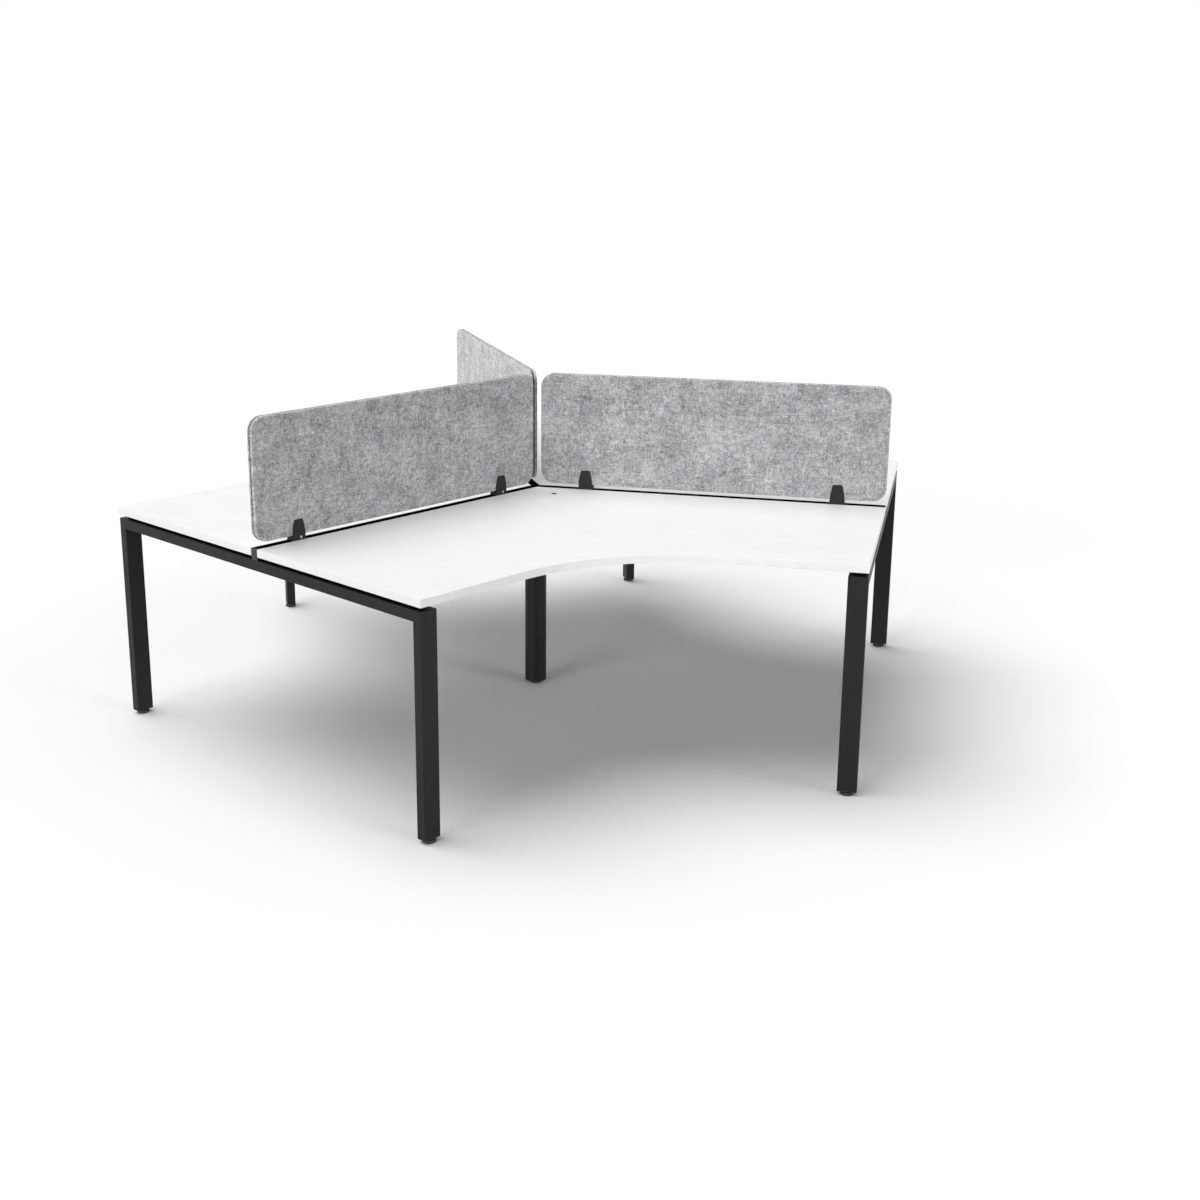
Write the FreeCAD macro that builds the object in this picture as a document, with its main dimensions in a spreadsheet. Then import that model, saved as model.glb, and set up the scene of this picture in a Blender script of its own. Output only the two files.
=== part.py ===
"""Three-seat office workstation: three 120 degree desks round one post, with felt screens between them.

Millimetres, +Z up, origin on the floor under the middle of the centre post.
Three arms leave the centre. Each carries a beam, a spine rail, a screen and an end frame. A piece of an
arm is drawn with +X outwards along the arm and +Y across it, and is then turned about Z to its place.
A piece of a desk is drawn with +X along the desk's own middle line and is turned in the same way.
"""
import FreeCAD, Part
import Sketcher
import os

# Driving sizes: name, value in millimetres, meaning
SIZES = (
    ("desk_height", 730, "floor to desk surface"),
    ("top_thickness", 25, "desk top"),
    ("top_length", 1200, "each back edge of a top, from its corner to its end"),
    ("top_depth", 745, "back edge to front edge of a top, along its end"),
    ("front_radius", 650, "concave curve between the two front edges"),
    ("band_thickness", 2, "edge band round a top"),
    ("band_edge", 0.8, "rounding of the band's upper and lower edges"),
    ("top_clearance", 0.3, "between a top and the spine rail beside it"),
    ("tube_depth", 60, "longer side of the frame tube"),
    ("tube_width", 34, "shorter side of the frame tube"),
    ("tube_wall", 2, "wall of the frame tube"),
    ("tube_corner", 3, "outer corner radius of the frame tube"),
    ("frame_inset", 1, "end frame behind the edges of the tops"),
    ("post_diameter", 76, "centre post"),
    ("post_wall", 2, "wall of the centre post"),
    ("hub_thickness", 6, "hub plate"),
    ("hub_reach", 150, "hub plate, centre to the end of an arm"),
    ("hub_radius", 65, "round middle of the hub plate"),
    ("beam_gap", 8, "inner end of a beam to the point where its sides would meet its neighbours"),
    ("plate_thickness", 5, "welded end plate of a beam"),
    ("plate_overhang", 25, "end plate beyond each side of the beam"),
    ("shadow_gap", 12, "between the end frames and the tops"),
    ("spine_drop", 0.2, "desk surface to the upper face of a spine rail"),
    ("spine_wall", 3, "walls of the spine rail extrusion"),
    ("flange_overhang", 20, "spine rail flange beyond each side of the beam"),
    ("mitre_gap", 0.2, "centre to the point of each mitred spine rail"),
    ("end_cap_thickness", 2, "plate of a spine rail end cap"),
    ("end_cap_peg", 12, "peg of an end cap inside the rail"),
    ("peg_clearance", 0.1, "between that peg and the rail's walls"),
    ("spacer_width", 36, "spacer strip between an end frame and a top"),
    ("spacer_clearance", 1, "between a spacer strip and the spine rail's flange"),
    ("foot_diameter", 42, "pad of a levelling foot"),
    ("foot_height", 12, "pad of a levelling foot"),
    ("foot_edge", 1.5, "chamfer of the pad's edges"),
    ("foot_gap", 0.3, "pad to the insert above it when screwed right in"),
    ("foot_travel", 15, "how far a foot screws out"),
    ("stud_diameter", 10, "stud of a levelling foot"),
    ("stud_clearance", 0.08, "round the stud in its insert"),
    ("insert_height", 30, "insert, inside the tube"),
    ("insert_lip", 2, "insert, below the tube"),
    ("insert_clearance", 0.1, "between an insert and the tube's walls"),
    ("screen_height", 385, "felt screen"),
    ("screen_start", 22, "centre to the inner end of a screen"),
    ("screen_corner", 45, "corner radius of a screen"),
    ("felt_thickness", 9, "each of the two felt panels"),
    ("felt_edge", 2, "rounding of a felt panel's outer edge"),
    ("core_thickness", 6, "board between the felt panels"),
    ("core_inset", 4, "core behind the edges of the felt panels"),
    ("block_height", 16, "clamp block, which is the gap under the screen"),
    ("clamp_base", 49, "clamp plate and block, width at the bottom"),
    ("clamp_shoulder", 46, "clamp plate, width where its sides start to lean in"),
    ("clamp_shoulder_height", 34, "that place above the spine rail"),
    ("clamp_side_curve", 90, "curve of the sides there"),
    ("clamp_tip", 31, "clamp plate, width at the top"),
    ("clamp_height", 66, "clamp plate"),
    ("clamp_thickness", 3, "clamp plate"),
    ("clamp_corner", 5, "upper corners of a clamp plate"),
    ("clamp_setback", 160, "end of a screen to the middle of a clamp"),
    ("grommet_offset", 130, "centre to the middle of a grommet"),
    ("grommet_diameter", 90, "grommet liner, at the surface"),
    ("grommet_rim", 2, "ring of the liner that shows round its cap"),
    ("grommet_ledge", 2, "ledge that the cap lies on"),
    ("grommet_flange", 3, "thickness of the liner's flange, and depth of its rebate"),
    ("sleeve_wall", 2, "sleeve of the liner"),
    ("sleeve_drop", 4, "sleeve below the top"),
    ("lid_thickness", 2, "disc of the grommet cap"),
    ("lid_skirt", 12, "skirt of the grommet cap"),
    ("lid_wall", 2, "wall of that skirt"),
    ("cable_hole", 19, "diameter of the hole in the grommet cap"),
    ("cable_offset", 29, "middle of the cap to the middle of that hole"),
    ("board_clearance", 0.2, "round the grommet liner in the top"),
    ("turning_clearance", 0.08, "round and under the grommet cap in its liner"),
    ("bolt_diameter", 8, "bolts of the frame"),
    ("bolt_head_width", 13, "across the flats, head and nut"),
    ("bolt_head_height", 5, "bolts of the frame"),
    ("nut_height", 6.5, "weld nuts of the frame"),
    ("bolt_spare", 2, "bolt past its nut"),
    ("hole_clearance", 0.4, "round a bolt or screw in a plain hole"),
    ("thread_clearance", 0.1, "round a bolt or screw in its thread"),
    ("screw_diameter", 4.5, "screws into the tops"),
    ("screw_head", 9, "screws into the tops, head diameter"),
    ("screw_head_height", 3, "screws into the tops"),
    ("screw_bite", 13, "screws into the tops, length in the board"),
    ("screw_tip", 4, "pointed end of those screws"),
    ("pilot_relief", 1, "pilot hole past the point of a screw"),
    ("rail_screw_diameter", 6, "screws that hold the spine rails to the beams"),
    ("rail_screw_head", 11, "rail screws, head diameter"),
    ("rail_screw_head_height", 3.5, "rail screws"),
    ("rail_screw_end", 4, "rail screws past the floor of the spine rail"),
    ("clamp_bolt_diameter", 6, "bolts that hold the clamp blocks down"),
    ("clamp_bolt_head", 10, "clamp bolts, head diameter"),
    ("clamp_bolt_head_height", 6, "clamp bolts"),
    ("counterbore_cover", 1.5, "top of a clamp bolt's head to the top of its block"),
    ("clamp_nut_width", 10, "nuts of the clamp bolts, across the flats"),
    ("clamp_nut_height", 5, "nuts of the clamp bolts"),
    ("clamp_screw_diameter", 4, "small screws through the clamp plates"),
    ("clamp_screw_head", 8, "clamp screws, head diameter"),
    ("clamp_screw_height", 9, "clamp screws above the spine rail"),
    ("clamp_screw_offset", 7, "clamp screws, middle of the plate towards the centre post"),
    ("clamp_screw_land", 1.5, "block left between a clamp screw and the bolt's counterbore"),
    ("countersink_clearance", 0.05, "between a countersunk head and its seat"),
    ("socket_width", 2.5, "hexagon socket in a clamp screw, across the flats"),
    ("socket_depth", 1.5, "hexagon socket in a clamp screw"),
    ("cut_overrun", 5, "how far a cut runs past the piece"),
)

# Places along a length, as shares of it
TOP_SCREW_SHARES = (0.14, 0.38, 0.64, 0.90)
RAIL_SCREW_SHARES = (0.24, 0.56, 0.89)
SPACER_SHARES = (0.35, 0.80)
HUB_BOLT_SHARES = (0.52, 0.84)

# Directions in degrees about Z
ARMS = {"left": 210, "right": 330, "back": 90}
DESKS = {"front": 270, "right": 30, "left": 150}
ARM_COUNT = len(ARMS)
FULL_TURN = 360
HALF_TURN = 180
CABLE_HOLE_TURN = 80

doc = FreeCAD.newDocument("workstation")
sheet = doc.addObject("Spreadsheet::Sheet", "Sizes")
for row, (alias, value, meaning) in enumerate(SIZES, start=1):
    sheet.set(f"A{row}", meaning)
    sheet.set(f"B{row}", str(value))
    sheet.setAlias(f"B{row}", alias)
doc.recompute()

# Shared places, each worked out from the driving sizes
SCREEN_HALF = "(Sizes.felt_thickness + Sizes.core_thickness / 2)"
SPINE_HALF = f"({SCREEN_HALF} + Sizes.clamp_thickness)"
TOP_BACK = f"({SPINE_HALF} + Sizes.top_clearance)"
TOP_FRONT = f"({TOP_BACK} + Sizes.top_depth)"
TOP_END = f"({TOP_BACK} / tan(60) + Sizes.top_length)"
UNDERSIDE = "(Sizes.desk_height - Sizes.top_thickness)"
FRAME_TOP = f"({UNDERSIDE} - Sizes.shadow_gap)"
FRAME_LOW = f"({FRAME_TOP} - Sizes.tube_width)"
FRAME_END = f"({TOP_END} - Sizes.frame_inset)"
FRAME_SIDE = f"({TOP_FRONT} - Sizes.frame_inset)"
RAIL_FACE = f"({FRAME_END} - Sizes.tube_depth)"
LEG_REACH = f"({FRAME_END} - Sizes.tube_depth / 2)"
LEG_SIDE = f"({FRAME_SIDE} - Sizes.tube_width / 2)"
LIP_LOW = "(Sizes.foot_height + Sizes.foot_gap)"
TUBE_LOW = f"({LIP_LOW} + Sizes.insert_lip)"
INSERT_TOP = f"({TUBE_LOW} + Sizes.insert_height)"
STUD_TOP = f"({INSERT_TOP} + Sizes.foot_travel)"
STUD_BORE = "(Sizes.stud_diameter / 2 + Sizes.stud_clearance)"
HUB_LOW = f"({FRAME_LOW} - Sizes.hub_thickness)"
BEAM_HALF = "(Sizes.tube_depth / 2)"
BEAM_START = f"({BEAM_HALF} / tan(60) + Sizes.beam_gap)"
BEAM_END = f"({RAIL_FACE} - Sizes.plate_thickness)"
PLATE_HALF = f"({BEAM_HALF} + Sizes.plate_overhang)"
PLATE_BOLT = f"({BEAM_HALF} + Sizes.plate_overhang / 2)"
FRAME_MIDDLE = f"({FRAME_LOW} + Sizes.tube_width / 2)"
FLANGE_HALF = f"({BEAM_HALF} + Sizes.flange_overhang)"
TOP_SCREW = f"({BEAM_HALF} + Sizes.flange_overhang / 2)"
SPINE_TOP = "(Sizes.desk_height - Sizes.spine_drop)"
SPINE_END = f"({FRAME_END} - Sizes.end_cap_thickness)"
SPACER_FACE = f"({LEG_REACH} + Sizes.spacer_width / 2)"
SPACER_BACK = f"({LEG_REACH} - Sizes.spacer_width / 2)"
SCREEN_LOW = f"({SPINE_TOP} + Sizes.block_height)"
SCREEN_TOP = f"({SCREEN_LOW} + Sizes.screen_height)"
CLAMP_PLACES = (
    "(Sizes.screen_start + Sizes.clamp_setback)",
    f"({FRAME_END} - Sizes.clamp_setback)",
)
COUNTERBORE = "(Sizes.clamp_bolt_head / 2 + Sizes.hole_clearance)"
BOLT_SEAT = f"({SCREEN_LOW} - Sizes.counterbore_cover - Sizes.clamp_bolt_head_height)"
CLAMP_NUT_LOW = f"({SPINE_TOP} - Sizes.spine_wall - Sizes.clamp_nut_height)"
CLAMP_SCREW_X = "(-Sizes.clamp_screw_offset)"
CLAMP_SCREW_Z = f"({SPINE_TOP} + Sizes.clamp_screw_height)"
CLAMP_SCREW_END = f"({COUNTERBORE} + Sizes.clamp_screw_land)"
GROMMET_R = "(Sizes.grommet_diameter / 2)"
RECESS_R = f"({GROMMET_R} - Sizes.grommet_rim)"
SLEEVE_BORE = f"({RECESS_R} - Sizes.grommet_ledge)"
SLEEVE_R = f"({SLEEVE_BORE} + Sizes.sleeve_wall)"
LEDGE_Z = "(Sizes.desk_height - Sizes.lid_thickness - Sizes.turning_clearance)"
LID_LOW = "(Sizes.desk_height - Sizes.lid_thickness)"

nodes = []


def amount(expression):
    """Return the number that an expression of the sheet's sizes gives."""
    return float(sheet.evalExpression(expression))


def turned(degrees):
    """Return the placement that turns a piece about the centre line."""
    return FreeCAD.Placement(FreeCAD.Vector(), FreeCAD.Rotation(FreeCAD.Vector(0, 0, 1), degrees))


def shifted(x, y="0", z="0"):
    """Return the placement that moves a piece by three expressions."""
    return FreeCAD.Placement(FreeCAD.Vector(amount(x), amount(y), amount(z)), FreeCAD.Rotation())


def new_body(label, place=None):
    """Start a body at its place."""
    body = doc.addObject("PartDesign::Body", label)
    body.Label = label
    if place is not None:
        body.Placement = place
    return body


def new_sketch(body, plane, offset="0"):
    """Start a sketch on one of the body's own planes, moved along the plane's normal."""
    sketch = body.newObject("Sketcher::SketchObject", f"{body.Name}_sketch")
    support = next(item for item in body.Origin.OriginFeatures if item.Role == plane)
    sketch.AttachmentSupport = [(support, "")]
    sketch.MapMode = "FlatFace"
    sketch.setExpression("AttachmentOffset.Base.z", offset)
    return sketch


def bind(sketch, expression, kind, *where):
    """Add a dimension to a sketch and bind it to an expression."""
    index = sketch.addConstraint(Sketcher.Constraint(kind, *where, amount(expression)))
    sketch.setExpression(f"Constraints[{index}]", expression)


def fix_point(sketch, geometry, point, x, y):
    """Bind a point of a sketch to two expressions, or to an axis where one is zero."""
    for axis, kind, expression in ((-2, "DistanceX", x), (-1, "DistanceY", y)):
        if expression == "0":
            sketch.addConstraint(Sketcher.Constraint("PointOnObject", geometry, point, axis))
        else:
            bind(sketch, expression, kind, geometry, point)


def polygon(sketch, points):
    """Draw a closed outline of straight edges through bound corners."""
    corners = [FreeCAD.Vector(amount(x), amount(y), 0) for x, y in points]
    count = len(points)
    first = sketch.GeometryCount
    for index in range(count):
        sketch.addGeometry(Part.LineSegment(corners[index], corners[(index + 1) % count]), False)
    for index, (x, y) in enumerate(points):
        here = first + index
        following = first + (index + 1) % count
        sketch.addConstraint(Sketcher.Constraint("Coincident", here, 2, following, 1))
        fix_point(sketch, here, 1, x, y)


def rectangle(sketch, left, right, low, high):
    """Draw a rectangle between four bound sides."""
    polygon(sketch, ((left, low), (right, low), (right, high), (left, high)))


def circle(sketch, x, y, radius):
    """Draw a circle with a bound middle and radius."""
    middle = FreeCAD.Vector(amount(x), amount(y), 0)
    index = sketch.addGeometry(Part.Circle(middle, FreeCAD.Vector(0, 0, 1), amount(radius)), False)
    fix_point(sketch, index, 3, x, y)
    bind(sketch, radius, "Radius", index)


def pad(body, sketch, length, symmetric=False):
    """Raise a sketch into a solid, along its normal or to both sides."""
    feature = body.newObject("PartDesign::Pad", f"{body.Name}_pad")
    feature.Profile = sketch
    feature.SideType = "Symmetric" if symmetric else "One side"
    feature.setExpression("Length", length)
    return feature


def pocket(body, sketch, depth=None, upwards=False):
    """Cut a sketch out of a body, right through or to a depth, and make sure that it cut."""
    doc.recompute()
    volume_before = body.Tip.Shape.Volume
    feature = body.newObject("PartDesign::Pocket", f"{body.Name}_pocket")
    feature.Profile = sketch
    if depth is None:
        feature.Type = "ThroughAll"
        feature.SideType = "Symmetric"
    else:
        feature.Reversed = upwards
        feature.setExpression("Length", depth)
    doc.recompute()
    if feature.Shape.isNull() or feature.Shape.Volume >= volume_before:
        raise RuntimeError(f"{body.Label}: {feature.Name} cut nothing")
    return feature


def edges_where(feature, chosen):
    """Return the names of a feature's edges that a test picks."""
    edges = enumerate(feature.Shape.Edges, start=1)
    return [f"Edge{index}" for index, edge in edges if chosen(edge)]


def dress(body, kind, measure, size, chosen):
    """Fillet or chamfer the edges of a body that a test picks."""
    doc.recompute()
    base = body.Tip
    feature = body.newObject(f"PartDesign::{kind}", f"{body.Name}_{kind.lower()}")
    feature.Base = (base, edges_where(base, chosen))
    feature.setExpression(measure, size)
    return feature


def fillet(body, radius, chosen):
    """Round the edges of a body that a test picks."""
    return dress(body, "Fillet", "Radius", radius, chosen)


def runs_along(axis):
    """Return a test for straight edges that run along an axis: 0 for X, 1 for Y, 2 for Z."""

    def test(edge):
        if edge.Curve.TypeId != "Part::GeomLine":
            return False
        return abs(abs(edge.Curve.Direction[axis]) - 1) < Part.Precision.confusion()

    return test


def lies_at(axis, place):
    """Return a test for edges that lie in the plane at a place on an axis."""
    level = amount(place)

    def test(edge):
        return all(abs(vertex.Point[axis] - level) < Part.Precision.approximation() for vertex in edge.Vertexes)

    return test


def revolve(body, points):
    """Turn a bound outline, given as radius and height, about Z."""
    sketch = new_sketch(body, "XZ_Plane")
    polygon(sketch, points)
    feature = body.newObject("PartDesign::Revolution", f"{body.Name}_revolution")
    feature.Profile = sketch
    feature.ReferenceAxis = (sketch, ["V_Axis"])
    feature.Angle = FULL_TURN
    return feature


def keep(node):
    """List an object as one of the workstation's nodes."""
    nodes.append(node)
    return node


def copies(master, places):
    """Return a copy of a pattern piece's solid at each place."""
    doc.recompute()
    solids = []
    for place in places:
        solid = master.Shape.copy()
        solid.Placement = place.multiply(master.Shape.Placement)
        solids.append(solid)
    return solids


def group(label, solids):
    """Keep like pieces as one node of separate solids."""
    node = doc.addObject("Part::Feature", label)
    node.Label = label
    node.Shape = Part.makeCompound(solids)
    return keep(node)


def on_desk(reach, inwards, side):
    """Return where a point of an arm, at a distance towards the desk's middle, lies on the desk's drawing."""
    x = f"({reach}) * cos(60) + ({inwards}) * sin(60)"
    y = f"{side} * (({reach}) * sin(60) - ({inwards}) * cos(60))"
    return x, y


def top_outline(sketch, inset):
    """Draw a top's outline, moved inwards by an inset: two back edges, two ends, two fronts and the curve."""
    back = f"({TOP_BACK} + {inset})"
    front = f"({TOP_FRONT} - {inset})"
    end = f"({TOP_END} - {inset})"
    radius = f"(Sizes.front_radius + {inset})"
    curve_start = f"({front} + {radius}) / tan(60)"
    half = [on_desk(end, back, 1), on_desk(end, front, 1), on_desk(curve_start, front, 1)]
    other = [on_desk(curve_start, front, -1), on_desk(end, front, -1), on_desk(end, back, -1)]
    points = [(f"{back} / sin(60)", "0")] + half + other
    corners = [FreeCAD.Vector(amount(x), amount(y), 0) for x, y in points]
    count = len(points)
    curved = len(half)
    middle = FreeCAD.Vector(amount(f"({front} + {radius}) / sin(60)"), 0, 0)
    rim = Part.Circle(middle, FreeCAD.Vector(0, 0, 1), amount(radius))
    for index in range(count):
        following = (index + 1) % count
        if index == curved:
            edge = Part.ArcOfCircle(rim, rim.parameter(corners[index]), rim.parameter(corners[following]))
        else:
            edge = Part.LineSegment(corners[index], corners[following])
        sketch.addGeometry(edge, False)
    for index, (x, y) in enumerate(points):
        sketch.addConstraint(Sketcher.Constraint("Coincident", index, 2, (index + 1) % count, 1))
        fix_point(sketch, index, 1, x, y)
    bind(sketch, radius, "Radius", curved)


def share_of(share, length):
    """Return the expression for a share of a length."""
    return f"({share} * {length})"


# Desk tops with their edge bands


def desk_top(name, turn):
    """Faced board with the rebated grommet hole and the pilot holes of its screws."""
    body = new_body(f"desk_top_{name}", turned(turn))
    outline = new_sketch(body, "XY_Plane", UNDERSIDE)
    top_outline(outline, "Sizes.band_thickness")
    pad(body, outline, "Sizes.top_thickness")
    hole = new_sketch(body, "XY_Plane", "Sizes.desk_height")
    circle(hole, "Sizes.grommet_offset", "0", f"{SLEEVE_R} + Sizes.board_clearance")
    pocket(body, hole)
    rebate = new_sketch(body, "XY_Plane", "Sizes.desk_height")
    circle(rebate, "Sizes.grommet_offset", "0", f"{GROMMET_R} + Sizes.board_clearance")
    pocket(body, rebate, "Sizes.grommet_flange")
    pilots = new_sketch(body, "XY_Plane", UNDERSIDE)
    pilot_radius = "Sizes.screw_diameter / 2 + Sizes.thread_clearance"
    for side in (1, -1):
        for share in TOP_SCREW_SHARES:
            circle(pilots, *on_desk(share_of(share, FRAME_END), TOP_SCREW, side), pilot_radius)
        for share in SPACER_SHARES:
            circle(pilots, *on_desk(LEG_REACH, share_of(share, FRAME_SIDE), side), pilot_radius)
    pocket(body, pilots, "Sizes.screw_bite + Sizes.pilot_relief", upwards=True)
    keep(body)


def edge_band(name, turn):
    """Band round all edges of a top, as thick as the board is high."""
    body = new_body(f"edge_band_{name}", turned(turn))
    outline = new_sketch(body, "XY_Plane", UNDERSIDE)
    top_outline(outline, "0")
    pad(body, outline, "Sizes.top_thickness")
    upright = runs_along(2)
    fillet(body, "Sizes.band_edge", lambda edge: not upright(edge))
    board = new_sketch(body, "XY_Plane", UNDERSIDE)
    top_outline(board, "Sizes.band_thickness")
    pocket(body, board)
    keep(body)


# End frames, beams and the centre


def tube_section(sketch, left, right, low, high):
    """Draw the hollow of a tube inside its four outer sides."""
    wall = "Sizes.tube_wall"
    rectangle(sketch, f"{left} + {wall}", f"{right} - {wall}", f"{low} + {wall}", f"{high} - {wall}")


def mitre(body, side, of_leg):
    """Cut the corner off a leg or a rail along their mitre, on the plane of the end frame."""
    inner = f"{side} * ({FRAME_SIDE} - Sizes.tube_width - Sizes.cut_overrun)"
    outer = f"{side} * ({FRAME_SIDE} + Sizes.cut_overrun)"
    low = f"{FRAME_LOW} - Sizes.cut_overrun"
    high = f"{FRAME_TOP} + Sizes.cut_overrun"
    third_point = (inner, high) if of_leg else (outer, low)
    corner = new_sketch(body, "YZ_Plane")
    polygon(corner, ((inner, low), (outer, high), third_point))
    pocket(body, corner)


def frame_leg(label, turn, side):
    """Upright tube of an end frame, mitred at the top."""
    body = new_body(label, turned(turn))
    across = sorted((f"{side} * {FRAME_SIDE}", f"{side} * ({FRAME_SIDE} - Sizes.tube_width)"), key=amount)
    outline = new_sketch(body, "XY_Plane", TUBE_LOW)
    rectangle(outline, RAIL_FACE, FRAME_END, *across)
    pad(body, outline, f"{FRAME_TOP} - {TUBE_LOW}")
    fillet(body, "Sizes.tube_corner", runs_along(2))
    hollow = new_sketch(body, "XY_Plane", TUBE_LOW)
    tube_section(hollow, RAIL_FACE, FRAME_END, *across)
    pocket(body, hollow)
    mitre(body, side, of_leg=True)
    keep(body)


def frame_rail(name, turn):
    """Level tube of an end frame, mitred at both ends, drilled for the beam's bolts and the spacers' screws."""
    body = new_body(f"end_rail_{name}", turned(turn))
    outline = new_sketch(body, "XZ_Plane")
    rectangle(outline, RAIL_FACE, FRAME_END, FRAME_LOW, FRAME_TOP)
    pad(body, outline, f"2 * {FRAME_SIDE}", symmetric=True)
    fillet(body, "Sizes.tube_corner", runs_along(1))
    hollow = new_sketch(body, "XZ_Plane")
    tube_section(hollow, RAIL_FACE, FRAME_END, FRAME_LOW, FRAME_TOP)
    pocket(body, hollow)
    for side in (1, -1):
        mitre(body, side, of_leg=False)
    bolts = new_sketch(body, "YZ_Plane", RAIL_FACE)
    screws = new_sketch(body, "XY_Plane", FRAME_LOW)
    for side in (1, -1):
        circle(bolts, f"{side} * {PLATE_BOLT}", FRAME_MIDDLE, "Sizes.bolt_diameter / 2 + Sizes.hole_clearance")
        for share in SPACER_SHARES:
            across = f"{side} * {share_of(share, FRAME_SIDE)}"
            circle(screws, LEG_REACH, across, "Sizes.screw_diameter / 2 + Sizes.hole_clearance")
    pocket(body, bolts, "2 * Sizes.tube_wall", upwards=True)
    pocket(body, screws)
    keep(body)


def beam(name, turn):
    """Tube laid flat from the hub to an end frame, with its welded end plate."""
    body = new_body(f"beam_{name}", turned(turn))
    outline = new_sketch(body, "YZ_Plane", BEAM_START)
    rectangle(outline, f"-{BEAM_HALF}", BEAM_HALF, FRAME_LOW, FRAME_TOP)
    pad(body, outline, f"{BEAM_END} - {BEAM_START}")
    fillet(body, "Sizes.tube_corner", runs_along(0))
    hollow = new_sketch(body, "YZ_Plane", BEAM_START)
    tube_section(hollow, f"-{BEAM_HALF}", BEAM_HALF, FRAME_LOW, FRAME_TOP)
    pocket(body, hollow)
    plate = new_sketch(body, "YZ_Plane", BEAM_END)
    rectangle(plate, f"-{PLATE_HALF}", PLATE_HALF, FRAME_LOW, FRAME_TOP)
    pad(body, plate, "Sizes.plate_thickness")
    bolts = new_sketch(body, "YZ_Plane", BEAM_END)
    for side in (1, -1):
        circle(bolts, f"{side} * {PLATE_BOLT}", FRAME_MIDDLE, "Sizes.bolt_diameter / 2 + Sizes.hole_clearance")
    pocket(body, bolts)
    hub_holes = new_sketch(body, "XY_Plane", FRAME_LOW)
    for share in HUB_BOLT_SHARES:
        reach = share_of(share, "Sizes.hub_reach")
        circle(hub_holes, reach, "0", "Sizes.bolt_diameter / 2 + Sizes.hole_clearance")
    pocket(body, hub_holes, "2 * Sizes.tube_wall", upwards=True)
    screw_holes = new_sketch(body, "XY_Plane", FRAME_LOW)
    for share in RAIL_SCREW_SHARES:
        reach = share_of(share, RAIL_FACE)
        circle(screw_holes, reach, "0", "Sizes.rail_screw_diameter / 2 + Sizes.hole_clearance")
    pocket(body, screw_holes)
    keep(body)


def hub_plate():
    """Plate on the post, with one drilled arm under each beam."""
    body = new_body("hub_plate", turned(ARMS["back"]))
    middle = new_sketch(body, "XY_Plane", HUB_LOW)
    circle(middle, "0", "0", "Sizes.hub_radius")
    pad(body, middle, "Sizes.hub_thickness")
    arm = new_sketch(body, "XY_Plane", HUB_LOW)
    rectangle(arm, "0", "Sizes.hub_reach", f"-{BEAM_HALF}", BEAM_HALF)
    arm_pad = pad(body, arm, "Sizes.hub_thickness")
    doc.recompute()
    repeat_round(body, arm_pad)
    bolts = new_sketch(body, "XY_Plane", HUB_LOW)
    for share in HUB_BOLT_SHARES:
        reach = share_of(share, "Sizes.hub_reach")
        circle(bolts, reach, "0", "Sizes.bolt_diameter / 2 + Sizes.hole_clearance")
    repeat_round(body, pocket(body, bolts))
    keep(body)


def repeat_round(body, feature):
    """Repeat a feature of a body once for each arm, about the centre line."""
    axis = next(item for item in body.Origin.OriginFeatures if item.Role == "Z_Axis")
    pattern = body.newObject("PartDesign::PolarPattern", f"{body.Name}_pattern")
    pattern.Originals = [feature]
    pattern.Axis = (axis, [""])
    pattern.Angle = FULL_TURN
    pattern.Occurrences = ARM_COUNT
    body.Tip = pattern
    doc.recompute()


def centre_post():
    """Round tube under the hub plate."""
    body = new_body("centre_post")
    outline = new_sketch(body, "XY_Plane", TUBE_LOW)
    circle(outline, "0", "0", "Sizes.post_diameter / 2")
    circle(outline, "0", "0", "Sizes.post_diameter / 2 - Sizes.post_wall")
    pad(body, outline, f"{HUB_LOW} - {TUBE_LOW}")
    keep(body)


# Inserts and levelling feet


def leg_places():
    """Return the name and place of each leg's middle line, arm by arm."""
    places = {}
    for name, turn in ARMS.items():
        for number, side in enumerate((1, -1), start=1):
            middle = shifted(LEG_REACH, f"{side} * {LEG_SIDE}")
            places[f"{name}_{number}"] = turned(turn).multiply(middle)
    return places


def leg_inserts():
    """Plastic plugs in the legs, bored for the studs, with a lip under the tube."""
    body = new_body("leg_insert_pattern")
    lip = new_sketch(body, "XY_Plane", LIP_LOW)
    half_depth = "Sizes.tube_depth / 2"
    half_width = "Sizes.tube_width / 2"
    rectangle(lip, f"-{half_depth}", half_depth, f"-{half_width}", half_width)
    pad(body, lip, "Sizes.insert_lip")
    fillet(body, "Sizes.tube_corner", runs_along(2))
    plug = new_sketch(body, "XY_Plane", TUBE_LOW)
    margin = "(Sizes.tube_wall + Sizes.insert_clearance)"
    plug_depth = f"({half_depth} - {margin})"
    plug_width = f"({half_width} - {margin})"
    rectangle(plug, f"-{plug_depth}", plug_depth, f"-{plug_width}", plug_width)
    pad(body, plug, "Sizes.insert_height")
    bore = new_sketch(body, "XY_Plane", LIP_LOW)
    circle(bore, "0", "0", STUD_BORE)
    pocket(body, bore)
    group("leg_inserts", copies(body, leg_places().values()))


def post_insert():
    """Round plug in the centre post, bored for its stud."""
    body = new_body("post_insert")
    plug = "Sizes.post_diameter / 2 - Sizes.post_wall - Sizes.insert_clearance"
    revolve(body, (
        (STUD_BORE, LIP_LOW),
        ("Sizes.post_diameter / 2", LIP_LOW),
        ("Sizes.post_diameter / 2", TUBE_LOW),
        (plug, TUBE_LOW),
        (plug, INSERT_TOP),
        (STUD_BORE, INSERT_TOP),
    ))
    keep(body)


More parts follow.
